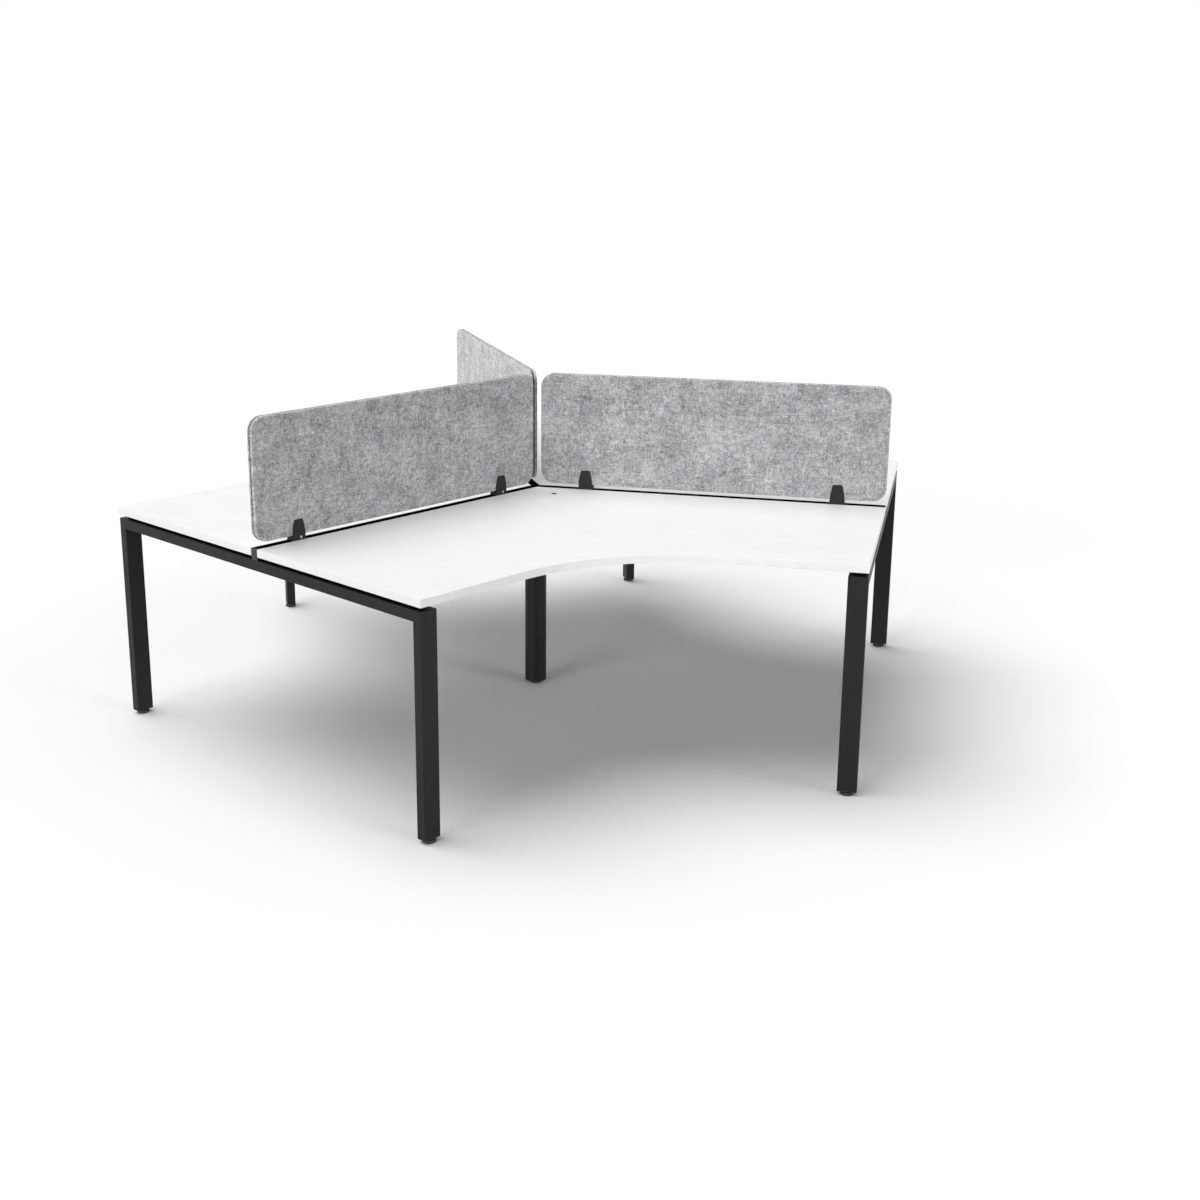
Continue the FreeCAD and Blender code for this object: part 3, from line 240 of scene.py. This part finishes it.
def stretched(material, place, scale):
    """The place with each axis scaled on its own."""
    return add_node(material, "ShaderNodeMapping", Vector=place, Scale=scale).outputs["Vector"]


def speckle(material, place, size, detail=2.0, rough=0.5, distortion=0.0):
    """Noise whose lumps are about this size in metres."""
    return add_node(
        material, "ShaderNodeTexNoise", Vector=place, Scale=1 / size, Detail=detail, Roughness=rough,
        Distortion=distortion,
    ).outputs["Fac"]


def maths(material, operation, first, second, third=0.0):
    """One sum of two or three values."""
    node = add_node(material, "ShaderNodeMath", {"operation": operation}, _0=first, _1=second, _2=third)
    return node.outputs[0]


def spread(material, value, low, high, new_low, new_high):
    """Moves a value from one range to another."""
    node = add_node(material, "ShaderNodeMapRange", Value=value)
    node.inputs["From Min"].default_value = low
    node.inputs["From Max"].default_value = high
    node.inputs["To Min"].default_value = new_low
    node.inputs["To Max"].default_value = new_high
    return node.outputs["Result"]


def ramp(material, value, *stops):
    """Colours at places from 0 to 1."""
    node = add_node(material, "ShaderNodeValToRGB", Fac=value)
    elements = node.color_ramp.elements
    while len(elements) < len(stops):
        elements.new(0.5)
    for element, (place, colour) in zip(elements, stops):
        element.position = place
        element.color = (*colour, 1)
    return node.outputs["Color"]


def shade_of(colour, factor):
    """The same colour, lighter or darker."""
    return tuple(min(1, part * factor) for part in colour)


def shades(material, value, colour, *stops):
    """Shades of one colour along a value. Each stop is a place from 0 to 1 and the shade's factor there."""
    return ramp(material, value, *((place, shade_of(colour, factor)) for place, factor in stops))


def mix_colours(material, share, first, second, way="MIX"):
    """Two colours mixed by a share, or multiplied."""
    node = add_node(
        material, "ShaderNodeMixRGB", {"blend_type": way}, Fac=share, Color1=first, Color2=second
    )
    return node.outputs["Color"]


def feed(material, source, shader, socket):
    """Links a value to a socket of the shader."""
    material.node_tree.links.new(source, shader.inputs[socket])


def vary_roughness(material, shader, value, low, high):
    """Roughness between two limits that follows a noise."""
    feed(material, spread(material, value, NOISE_LOW, NOISE_HIGH, low, high), shader, "Roughness")


def bumpy(material, shader, height, depth, strength):
    """Relief of this depth in metres from a height between 0 and 1."""
    node = add_node(material, "ShaderNodeBump", Height=height, Strength=strength, Distance=depth)
    feed(material, node.outputs["Normal"], shader, "Normal")


def melamine(looks):
    """White faced board: a faint cloud in the colour and a fine pearl texture."""
    material, shader = new_finish("melamine_face", looks.face, looks.roughness)
    place = object_place(material)
    cloud = speckle(material, place, size=0.12, detail=3.0)
    fine = speckle(material, place, size=looks.grain, detail=3.0, rough=0.6)
    mixed = maths(material, "MULTIPLY_ADD", fine, 0.35, cloud)
    feed(material, shades(material, mixed, looks.face, (0.40, 0.975), (0.95, 1.015)), shader, "Base Color")
    vary_roughness(material, shader, fine, looks.roughness - 0.06, looks.roughness + 0.08)
    bumpy(material, shader, fine, depth=0.00004, strength=0.5)
    return material


def edge_plastic(looks):
    """Edge band: smooth plastic with faint lines along it."""
    material, shader = new_finish("edge_band", looks.band, roughness=0.38)
    place = object_place(material)
    lines = speckle(material, stretched(material, place, (6, 6, 900)), size=1.0)
    cloud = speckle(material, place, size=0.05)
    mixed = maths(material, "MULTIPLY_ADD", lines, 0.5, cloud)
    feed(material, shades(material, mixed, looks.band, (0.45, 0.96), (1.0, 1.03)), shader, "Base Color")
    vary_roughness(material, shader, lines, 0.32, 0.46)
    bumpy(material, shader, lines, depth=0.00003, strength=0.5)
    return material


def powder_coat(name, colour, looks, roughness):
    """Powder coat: orange peel, a finer sparkle and small changes of gloss."""
    material, shader = new_finish(name, colour, roughness, gloss=0.24)
    place = object_place(material)
    peel = speckle(material, place, size=looks.grain)
    dust = speckle(material, place, size=looks.grain / 5)
    drift = speckle(material, place, size=0.06)
    mixed = maths(material, "MULTIPLY_ADD", dust, 0.4, drift)
    feed(material, shades(material, mixed, colour, (0.45, 0.82), (0.95, 1.22)), shader, "Base Color")
    vary_roughness(material, shader, drift, roughness - 0.05, roughness + 0.06)
    bumpy(material, shader, maths(material, "MULTIPLY_ADD", dust, 0.3, peel), depth=0.00009, strength=0.6)
    return material


def matt_rail(looks):
    """Matt black rail: very fine drawn lines."""
    material, shader = new_finish("spine_matt", looks.spine, roughness=0.7, gloss=0.0)
    place = object_place(material)
    lines = speckle(material, stretched(material, place, (40, 40, 2400)), size=1.0)
    drift = speckle(material, place, size=0.08)
    mixed = maths(material, "MULTIPLY_ADD", lines, 0.5, drift)
    feed(material, shades(material, mixed, looks.spine, (0.45, 0.85), (1.0, 1.2)), shader, "Base Color")
    vary_roughness(material, shader, lines, 0.64, 0.78)
    bumpy(material, shader, lines, depth=0.00003, strength=0.4)
    return material


def moulded(name, colour, roughness, gloss=0.5, drift=0.08, body=None):
    """Moulded plastic with a fine spark-eroded texture.

    Where a body colour is given, the first colour is only a thin face, level with the desk, and the body
    colour below it is painted shade inside the hole.
    """
    material, shader = new_finish(name, colour, roughness, gloss)
    place = object_place(material)
    fine = speckle(material, place, size=0.0007, detail=3.0, rough=0.6)
    cloud = speckle(material, place, size=0.02)
    mixed = maths(material, "MULTIPLY_ADD", fine, 0.4, cloud)
    shaded = shades(material, mixed, colour, (0.45, 1 - drift), (0.95, 1 + drift))
    # Painted shade: below the face everything takes the body colour, so the grommet's hole looks dark
    if body:
        height = add_node(material, "ShaderNodeSeparateXYZ", Vector=place).outputs["Z"]
        painted_shade_below = maths(material, "LESS_THAN", height, PAINTED_SHADE_TOP)
        shaded = mix_colours(material, painted_shade_below, shaded, (*body, 1))
    feed(material, shaded, shader, "Base Color")
    vary_roughness(material, shader, fine, roughness - 0.06, roughness + 0.06)
    bumpy(material, shader, fine, depth=0.00005, strength=0.5)
    return material


def zinc(looks):
    """Bright zinc plate with turning marks and small stains."""
    material, shader = new_finish("zinc_plate", looks.steel, roughness=0.3)
    shader.inputs["Metallic"].default_value = 1.0
    place = object_place(material)
    stain = speckle(material, place, size=0.006, detail=3.0)
    marks = speckle(material, stretched(material, place, (300, 300, 3500)), size=1.0)
    feed(material, shades(material, stain, looks.steel, (0.3, 0.82), (0.7, 1.1)), shader, "Base Color")
    vary_roughness(material, shader, marks, 0.22, 0.40)
    bumpy(material, shader, marks, depth=0.00002, strength=0.4)
    return material


def felt(looks, name, direction, lighter):
    """Pressed felt in a grey marl: soft clouds, flecks, crossing fibres, stray hairs and a fibrous relief."""
    material, shader = new_finish(name, looks.middle, roughness=0.95, gloss=0.15)
    shader.inputs["Sheen Weight"].default_value = 0.12
    shader.inputs["Sheen Roughness"].default_value = 0.6
    # The panel's own axes: +X along the arm
    turn = (0, 0, math.radians(-direction))
    turned = add_node(material, "ShaderNodeMapping", Vector=object_place(material), Rotation=turn)
    place = turned.outputs["Vector"]
    along = stretched(material, place, (1, 1, 9))
    upright = stretched(material, place, (9, 1, 1))
    # Place, size, detail, roughness, distortion and weight of the clouds, the flecks and the crossing fibres
    layers = (
        (place, 0.11, 2.0, 0.5, 0.3, 0.16),
        (place, looks.fleck * 4, 2.0, 0.5, 0.6, 0.16),
        (place, looks.fleck * 1.6, 3.0, 0.6, 1.2, 0.32),
        (place, looks.fleck * 0.8, 2.0, 0.6, 1.6, 0.32),
        (along, looks.fleck * 5, 2.0, 0.6, 0.8, 0.20),
        (upright, looks.fleck * 5, 2.0, 0.6, 0.8, 0.20),
    )
    # The weights add up to more than 1, so the sum starts where its mean comes out at one half
    mixed = 0.5 * (1 - sum(weight for *_, weight in layers))
    for *layer, weight in layers:
        mixed = maths(material, "MULTIPLY_ADD", speckle(material, *layer), weight, mixed)
    # Lighter above 1 makes the cut edge's copy of the felt, a painted highlight
    dark, middle, light = (shade_of(part, lighter) for part in (looks.dark, looks.middle, looks.light))
    marl = ramp(material, mixed, (0.36, dark), (0.5, middle), (0.64, light))
    cool = (0.985, 0.985, 1.020)
    warm = (1.015, 1.002, 0.987)
    tint = ramp(material, speckle(material, place, 0.07, 2.0, 0.5, 0.5), (0.35, cool), (0.65, warm))
    tinted = mix_colours(material, 1.0, marl, tint, "MULTIPLY")
    # A stray hair lies where a much distorted noise crosses its middle
    stray = speckle(material, place, looks.fleck * 3, 1.0, 0.5, 4.0)
    offset = maths(material, "ABSOLUTE", maths(material, "SUBTRACT", stray, 0.5), 0.0)
    hairs = spread(material, offset, 0.0, 0.010, 0.66, 1.0)
    feed(material, mix_colours(material, 1.0, tinted, hairs, "MULTIPLY"), shader, "Base Color")
    bumpy(material, shader, mixed, depth=0.0008, strength=0.5)
    return material


def raw_board(looks):
    """Dark core of a screen, with a sawn grain."""
    material, shader = new_finish("screen_core", looks.core, roughness=0.8)
    chips = speckle(material, object_place(material), size=0.002, detail=4.0, rough=0.7)
    feed(material, shades(material, chips, looks.core, (0.3, 0.6), (0.7, 1.5)), shader, "Base Color")
    bumpy(material, shader, chips, depth=0.0002, strength=0.5)
    return material


# Shapes


def dress(material, *beginnings):
    """Gives a finish to every node whose name begins so."""
    found = [node for name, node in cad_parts.items() if name.startswith(beginnings)]
    if not found:
        raise RuntimeError(f"no piece is named {beginnings}")
    for node in found:
        node.data.materials.clear()
        node.data.materials.append(material)


def new_piece(name, mesh, materials):
    """A mesh object in the scene with its finishes."""
    data = bpy.data.meshes.new(name)
    mesh.to_mesh(data)
    mesh.free()
    for material in materials:
        data.materials.append(material)
    piece = bpy.data.objects.new(name, data)
    bpy.context.scene.collection.objects.link(piece)
    return piece


def loft(mesh, rings):
    """Quads between neighbouring closed rings of points."""
    made = [[mesh.verts.new(point) for point in ring] for ring in rings]
    count = len(made[0])
    for low, high in zip(made, made[1:]):
        for i in range(count):
            j = (i + 1) % count
            mesh.faces.new((low[i], low[j], high[j], high[i]))
    return made


def turned_profile(mesh, profile, segments):
    """A turned shape: rings from a profile of radius and height."""
    angles = [math.tau * i / segments for i in range(segments)]
    rings = []
    for radius, height in profile:
        rings.append([(radius * math.cos(a), radius * math.sin(a), height) for a in angles])
    loft(mesh, rings)


def shade_smooth(piece, degrees):
    """Smooth shading, sharp above this angle."""
    piece.data.shade_smooth()
    piece.data.set_sharp_from_angle(angle=math.radians(degrees))


def rounded_outline(low, high, radius, step):
    """Points round a rectangle with rounded corners, at about this step."""
    corners = (
        (high[0] - radius, low[1] + radius, -90),
        (high[0] - radius, high[1] - radius, 0),
        (low[0] + radius, high[1] - radius, 90),
        (low[0] + radius, low[1] + radius, 180),
    )
    arc = max(6, round(radius * math.pi / 2 / step))
    points = []
    for x, z, start in corners:
        for i in range(arc + 1):
            angle = math.radians(start + 90 * i / arc)
            points.append(Vector((x + radius * math.cos(angle), z + radius * math.sin(angle))))
    filled = []
    for here, after in zip(points, points[1:] + points[:1]):
        parts = max(1, round((after - here).length / step))
        filled += [here.lerp(after, i / parts) for i in range(parts)]
    return filled


def arm_space(direction):
    """Turns an arm's own axes, +X outwards and +Y across, to their place."""
    return Matrix.Rotation(math.radians(direction), 4, "Z")


def node_in_arm(node, direction):
    """Lowest and highest corner of a node in its arm's own axes."""
    back = arm_space(-direction)
    points = [back @ vertex.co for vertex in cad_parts[node].data.vertices]
    low = Vector([min(point[i] for point in points) for i in range(3)])
    high = Vector([max(point[i] for point in points) for i in range(3)])
    return low, high


def felt_panel(name, direction, looks, materials):
    """One felt panel: rounded corners, a soft outer edge, a crisp inner edge and an uneven cut."""
    low, high = node_in_arm(name, direction)
    outward = 1 if low.y + high.y > 0 else -1
    inner = min(abs(low.y), abs(high.y))
    depth = high.y - low.y
    outline = rounded_outline((low.x, low.z), (high.x, high.z), FELT_CORNER, FELT_STEP)
    # Inset from the outline, and share of the thickness, from the inner face to the outer face
    edge = (
        (0.0005, 0.0), (0.0, 0.06), (0.0, 0.62),
        (0.0004, 0.76), (0.0013, 0.88), (0.0026, 0.96), (0.0045, 1.0),
    )
    rings = []
    for inset, share in edge:
        ring = []
        for i, point in enumerate(outline):
            before = outline[i - 1]
            after = outline[(i + 1) % len(outline)]
            along = (after - before).normalized()
            inward = Vector((-along.y, along.x))
            place = Vector((point.x * CUT_WAVES, point.y * CUT_WAVES, share * 2 + direction))
            wobble = looks.fuzz * noise.noise(place)
            spot = point + inward * (inset + abs(wobble))
            ring.append((spot.x, outward * (inner + depth * share), spot.y))
        rings.append(ring)
    mesh = bmesh.new()
    made = loft(mesh, rings)
    mesh.faces.new(made[0])
    mesh.faces.new(made[-1])
    bmesh.ops.recalc_face_normals(mesh, faces=mesh.faces)
    mesh.transform(arm_space(direction))
    across = arm_space(direction) @ Vector((0, 1, 0))
    # The panel's two faces take the first finish, the cut edge takes the second, a lighter copy of the felt
    # that is a painted highlight
    for face in mesh.faces:
        face.material_index = 0 if abs(face.normal.dot(across)) > FACE_COSINE else 1
    piece = new_piece(f"panel_{name}", mesh, materials)
    shade_smooth(piece, 50)
    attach(piece, FRAME_BODY)
    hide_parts(name)


def foot_pad(name, body, looks, material):
    """Moulded pad of a levelling foot: fluted rim, sloped shoulder, round collar and hollow underside."""
    low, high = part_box(name)
    centre = (low + high) / 2
    radius = (high.x - low.x) / 2
    mesh = bmesh.new()
    segments = looks.flutes * 4
    # Radius share, height share and how deep the flutes are there
    profile = (
        (0.60, 0.10, 0), (0.64, 0.0, 0), (0.90, 0.0, 0), (0.975, 0.08, 0.3), (1.0, 0.18, 1), (1.0, 0.60, 1),
        (0.975, 0.68, 0.3), (0.90, 0.74, 0), (0.62, 0.82, 0), (0.58, 0.86, 0), (0.58, 1.0, 0), (0.26, 1.0, 0),
    )
    rings = []
    for share, height, flute in profile:
        ring = []
        for i in range(segments):
            angle = math.tau * i / segments
            dip = FLUTE_DEPTH * flute * (0.5 - 0.5 * math.cos(looks.flutes * angle))
            reach = radius * (share - dip)
            ring.append((reach * math.cos(angle), reach * math.sin(angle), PAD_HEIGHT * height))
        rings.append(ring)
    made = loft(mesh, rings)
    mesh.faces.new(reversed(made[0]))
    mesh.faces.new(made[-1])
    mesh.transform(Matrix.Translation((centre.x, centre.y, low.z)))
    piece = new_piece(f"pad_{name}", mesh, [material])
    shade_smooth(piece, 35)
    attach(piece, body)
    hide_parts(name)


def foot_stud(name, body, looks, material):
    """Threaded stud of a levelling foot, with a chamfered end."""
    low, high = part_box(name)
    centre = (low + high) / 2
    pitch = looks.thread_pitch
    crest = STUD_RADIUS
    root = crest - THREAD_DEPTH * pitch
    start = low.z + THREAD_START
    end = high.z - STUD_CHAMFER
    mesh = bmesh.new()
    steps = int((end - start) / pitch * STUD_SEGMENTS)
    # Axial share of one pitch and radius of the thread's flanks
    flanks = ((0.0, root), (0.12, root), (0.47, crest), (0.60, crest), (0.95, root))
    strips = []
    for i in range(steps + 1):
        angle = math.tau * i / STUD_SEGMENTS
        lift = start + pitch * i / STUD_SEGMENTS
        strips.append([
            mesh.verts.new((r * math.cos(angle), r * math.sin(angle), lift + share * pitch))
            for share, r in flanks
        ])
    for here, after in zip(strips, strips[1:]):
        for j in range(len(flanks) - 1):
            mesh.faces.new((here[j], after[j], after[j + 1], here[j + 1]))
    # Radius and height of the core, up to its chamfered end
    core = ((root, start), (root, end), (root + 0.0002, end), (root - 0.0008, high.z), (0.0001, high.z))
    turned_profile(mesh, core, STUD_SEGMENTS)
    mesh.transform(Matrix.Translation((centre.x, centre.y, 0)))
    piece = new_piece(f"stud_{name}", mesh, [material])
    shade_smooth(piece, 40)
    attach(piece, body)
    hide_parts(name)


# Operators


class WORKSTATION_OT_tops(bpy.types.Operator):
    """Finishes the desk tops and their edge bands"""

    bl_idname = "workstation.tops"
    bl_label = "Desk tops"

    def execute(self, context):
        looks = context.scene.workstation_tops
        dress(melamine(looks), "desk_top_")
        dress(edge_plastic(looks), "edge_band_")
        return {"FINISHED"}


class WORKSTATION_OT_frame(bpy.types.Operator):
    """Finishes the steel frame: legs, end rails, beams, hub plate and centre post"""

    bl_idname = "workstation.steel_frame"
    bl_label = "Steel frame"

    def execute(self, context):
        looks = context.scene.workstation_frame
        coat = powder_coat("powder_coat", looks.coat, looks, looks.roughness)
        dress(coat, "leg_back", "leg_left", "leg_right", "end_rail_", "beam_", "hub_plate", "centre_post")
        return {"FINISHED"}


class WORKSTATION_OT_spines(bpy.types.Operator):
    """Finishes the spine rails and their end caps"""

    bl_idname = "workstation.spines"
    bl_label = "Spine rails"

    def execute(self, context):
        dress(matt_rail(context.scene.workstation_frame), "spine_rail_")
        plastic = context.scene.workstation_hardware.plastic
        dress(moulded("cap_plastic", plastic, roughness=0.5), "spine_end_caps")
        return {"FINISHED"}


class WORKSTATION_OT_screens(bpy.types.Operator):
    """Makes the felt panels and finishes the cores between them"""

    bl_idname = "workstation.screens"
    bl_label = "Felt screens"

    def execute(self, context):
        looks = context.scene.workstation_screens
        for arm, direction in ARMS.items():
            face = felt(looks, f"felt_{arm}", direction, 1.0)
            # The cut edge takes a lighter copy of the felt, a painted highlight
            cut_edge_highlight = felt(looks, f"felt_edge_highlight_{arm}", direction, EDGE_HIGHLIGHT_FACTOR)
            for side in (1, 2):
                felt_panel(f"felt_{arm}_{side}", direction, looks, [face, cut_edge_highlight])
        dress(raw_board(looks), "screen_core_")
        return {"FINISHED"}


class WORKSTATION_OT_clamps(bpy.types.Operator):
    """Finishes the screen clamps and their small screws"""

    bl_idname = "workstation.clamps"
    bl_label = "Screen clamps"

    def execute(self, context):
        looks = context.scene.workstation_frame
        coat = powder_coat("clamp_coat", looks.clamp, looks, roughness=0.5)
        dress(coat, "clamp_plates_", "clamp_blocks")
        dress(zinc(context.scene.workstation_hardware), "clamp_screws")
        return {"FINISHED"}


class WORKSTATION_OT_grommets(bpy.types.Operator):
    """Finishes the cable grommets, with painted shade inside their holes"""

    bl_idname = "workstation.grommets"
    bl_label = "Cable grommets"

    def execute(self, context):
        face = context.scene.workstation_tops.grommet
        # The black plastic colour paints shade inside each grommet's hole, below its white face
        body = tuple(context.scene.workstation_hardware.plastic)
        dress(moulded("grommet_plastic_painted_shade", face, roughness=0.4, drift=0.02, body=body), "grommet_")
        return {"FINISHED"}


class WORKSTATION_OT_feet(bpy.types.Operator):
    """Makes the levelling feet: a moulded pad and a threaded stud each"""

    bl_idname = "workstation.feet"
    bl_label = "Levelling feet"

    def execute(self, context):
        looks = context.scene.workstation_hardware
        pad = moulded("foot_plastic", looks.plastic, roughness=0.5)
        stud = zinc(looks)
        for name in [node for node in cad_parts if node.startswith("foot_")]:
            foot_pad(name, name, looks, pad)
            foot_stud(name, name, looks, stud)
        return {"FINISHED"}


class WORKSTATION_OT_fasteners(bpy.types.Operator):
    """Finishes bolts, screws, inserts and spacers"""

    bl_idname = "workstation.fasteners"
    bl_label = "Fasteners"

    def execute(self, context):
        looks = context.scene.workstation_hardware
        bolts = ("clamp_bolts", "end_plate_bolts", "hub_bolts")
        screws = ("frame_screws", "rail_screws", "top_screws")
        dress(zinc(looks), *bolts, *screws)
        dress(moulded("insert_plastic", looks.plastic, roughness=0.55), "leg_inserts", "post_insert")
        # The spacers are black plastic, darkened further and without gloss as painted shadow in the gap under
        # the tops
        shadow = shade_of(looks.plastic, 0.3)
        dress(moulded("spacer_plastic_painted_shadow", shadow, roughness=0.8, gloss=0.0), "top_spacers")
        return {"FINISHED"}


class WORKSTATION_OT_stage(bpy.types.Operator):
    """Sets up the floor, the light and the camera"""

    bl_idname = "workstation.stage"
    bl_label = "Stage"

    def execute(self, context):
        scene = context.scene
        looks = scene.workstation_stage
        scene.view_settings.view_transform = "Standard"
        self.floor(looks)
        self.light(scene, looks)
        self.camera(scene)
        return {"FINISHED"}

    def seen(self, material):
        """1 for rays that show the background to the camera, in metal or through glass, otherwise 0."""
        path = add_node(material, "ShaderNodeLightPath").outputs
        direct = maths(material, "MAXIMUM", path["Is Camera Ray"], path["Is Glossy Ray"])
        return maths(material, "MAXIMUM", direct, path["Is Transmission Ray"])

    def floor(self, looks):
        """A large pale floor that keeps the shadow and turns white further out."""
        material, shader = new_finish("studio_floor", looks.floor, roughness=1.0, gloss=0.0)
        shader.inputs["Emission Color"].default_value = (1, 1, 1, 1)
        seen = self.seen(material)
        colour = (*looks.floor, 1)
        back = (*shade_of(looks.floor, looks.floor_return), 1)
        feed(material, mix_colours(material, seen, back, colour), shader, "Base Color")
        distance = add_node(
            material, "ShaderNodeVectorMath", {"operation": "LENGTH"}, _0=object_place(material)
        ).outputs["Value"]
        lift = spread(material, distance, looks.lift_start, looks.lift_end, 0, looks.floor_lift)
        feed(material, maths(material, "MULTIPLY", seen, lift), shader, "Emission Strength")
        mesh = bmesh.new()
        bmesh.ops.create_grid(mesh, x_segments=1, y_segments=1, size=FLOOR_REACH)
        floor = new_piece("studio_floor", mesh, [material])

    def light(self, scene, looks):
        """Soft light from all round, a large key lamp and two low lamps."""
        world = bpy.data.worlds.new("studio")
        scene.world = world
        world.use_nodes = True
        background = world.node_tree.nodes["Background"]
        background.inputs["Color"].default_value = (1, 1, 1, 1)
        strength = spread(world, self.seen(world), 0, 1, looks.ambient, 1)
        feed(world, strength, background, "Strength")
        self.lamp(scene, "key_lamp", looks.key, looks.key_spread, looks.key_height, looks.key_side)
        self.lamp(scene, "left_lamp", looks.left, looks.low_spread, looks.low_height, looks.left_side)
        self.lamp(scene, "right_lamp", looks.right, looks.low_spread, looks.low_height, looks.right_side)

    def lamp(self, scene, name, strength, width, height, side):
        """One large soft lamp at this height above the horizon and this direction about Z."""
        lamp = bpy.data.lights.new(name, "SUN")
        lamp.energy = strength
        lamp.angle = width
        holder = bpy.data.objects.new(name, lamp)
        scene.collection.objects.link(holder)
        level = math.cos(height)
        towards = Vector((level * math.cos(side), level * math.sin(side), math.sin(height)))
        holder.rotation_mode = "QUATERNION"
        holder.rotation_quaternion = towards.to_track_quat("Z", "Y")

    def camera(self, scene):
        """The photograph's viewpoint."""
        lens = bpy.data.cameras.new("viewpoint")
        lens.sensor_width = SENSOR_WIDTH
        lens.lens = LENS_LENGTH
        lens.shift_x, lens.shift_y = LENS_SHIFT
        lens.clip_end = VIEW_REACH
        holder = bpy.data.objects.new("viewpoint", lens)
        scene.collection.objects.link(holder)
        holder.location = CAMERA_PLACE
        holder.rotation_euler = (math.radians(CAMERA_TILT), 0, math.radians(CAMERA_TURN))
        scene.camera = holder


class WORKSTATION_PT_sidebar(bpy.types.Panel):
    """Workstation pieces and finishes"""

    bl_idname = "WORKSTATION_PT_sidebar"
    bl_label = "Workstation"
    bl_space_type = "VIEW_3D"
    bl_region_type = "UI"
    bl_category = "Workstation"

    def draw(self, context):
        for operator in OPERATORS:
            self.layout.operator(operator.bl_idname)
        for name, group in SETTINGS.items():
            box = self.layout.box()
            box.label(text=group.__doc__)
            for field in group.__annotations__:
                box.prop(getattr(context.scene, name), field)


OPERATORS = (
    WORKSTATION_OT_tops,
    WORKSTATION_OT_frame,
    WORKSTATION_OT_spines,
    WORKSTATION_OT_screens,
    WORKSTATION_OT_clamps,
    WORKSTATION_OT_grommets,
    WORKSTATION_OT_feet,
    WORKSTATION_OT_fasteners,
    WORKSTATION_OT_stage,
)


def register():
    for group in SETTINGS.values():
        bpy.utils.register_class(group)
    for name, group in SETTINGS.items():
        setattr(bpy.types.Scene, name, PointerProperty(type=group))
    for operator in OPERATORS:
        bpy.utils.register_class(operator)
    bpy.utils.register_class(WORKSTATION_PT_sidebar)


def unregister():
    bpy.utils.unregister_class(WORKSTATION_PT_sidebar)
    for operator in reversed(OPERATORS):
        bpy.utils.unregister_class(operator)
    for name in SETTINGS:
        delattr(bpy.types.Scene, name)
    for group in reversed(SETTINGS.values()):
        bpy.utils.unregister_class(group)


def main():
    """Makes every piece and the stage."""
    register()
    bpy.ops.workstation.tops()
    bpy.ops.workstation.steel_frame()
    bpy.ops.workstation.spines()
    bpy.ops.workstation.screens()
    bpy.ops.workstation.clamps()
    bpy.ops.workstation.grommets()
    bpy.ops.workstation.feet()
    bpy.ops.workstation.fasteners()
    bpy.ops.workstation.stage()


if __name__ == "__main__":
    main()
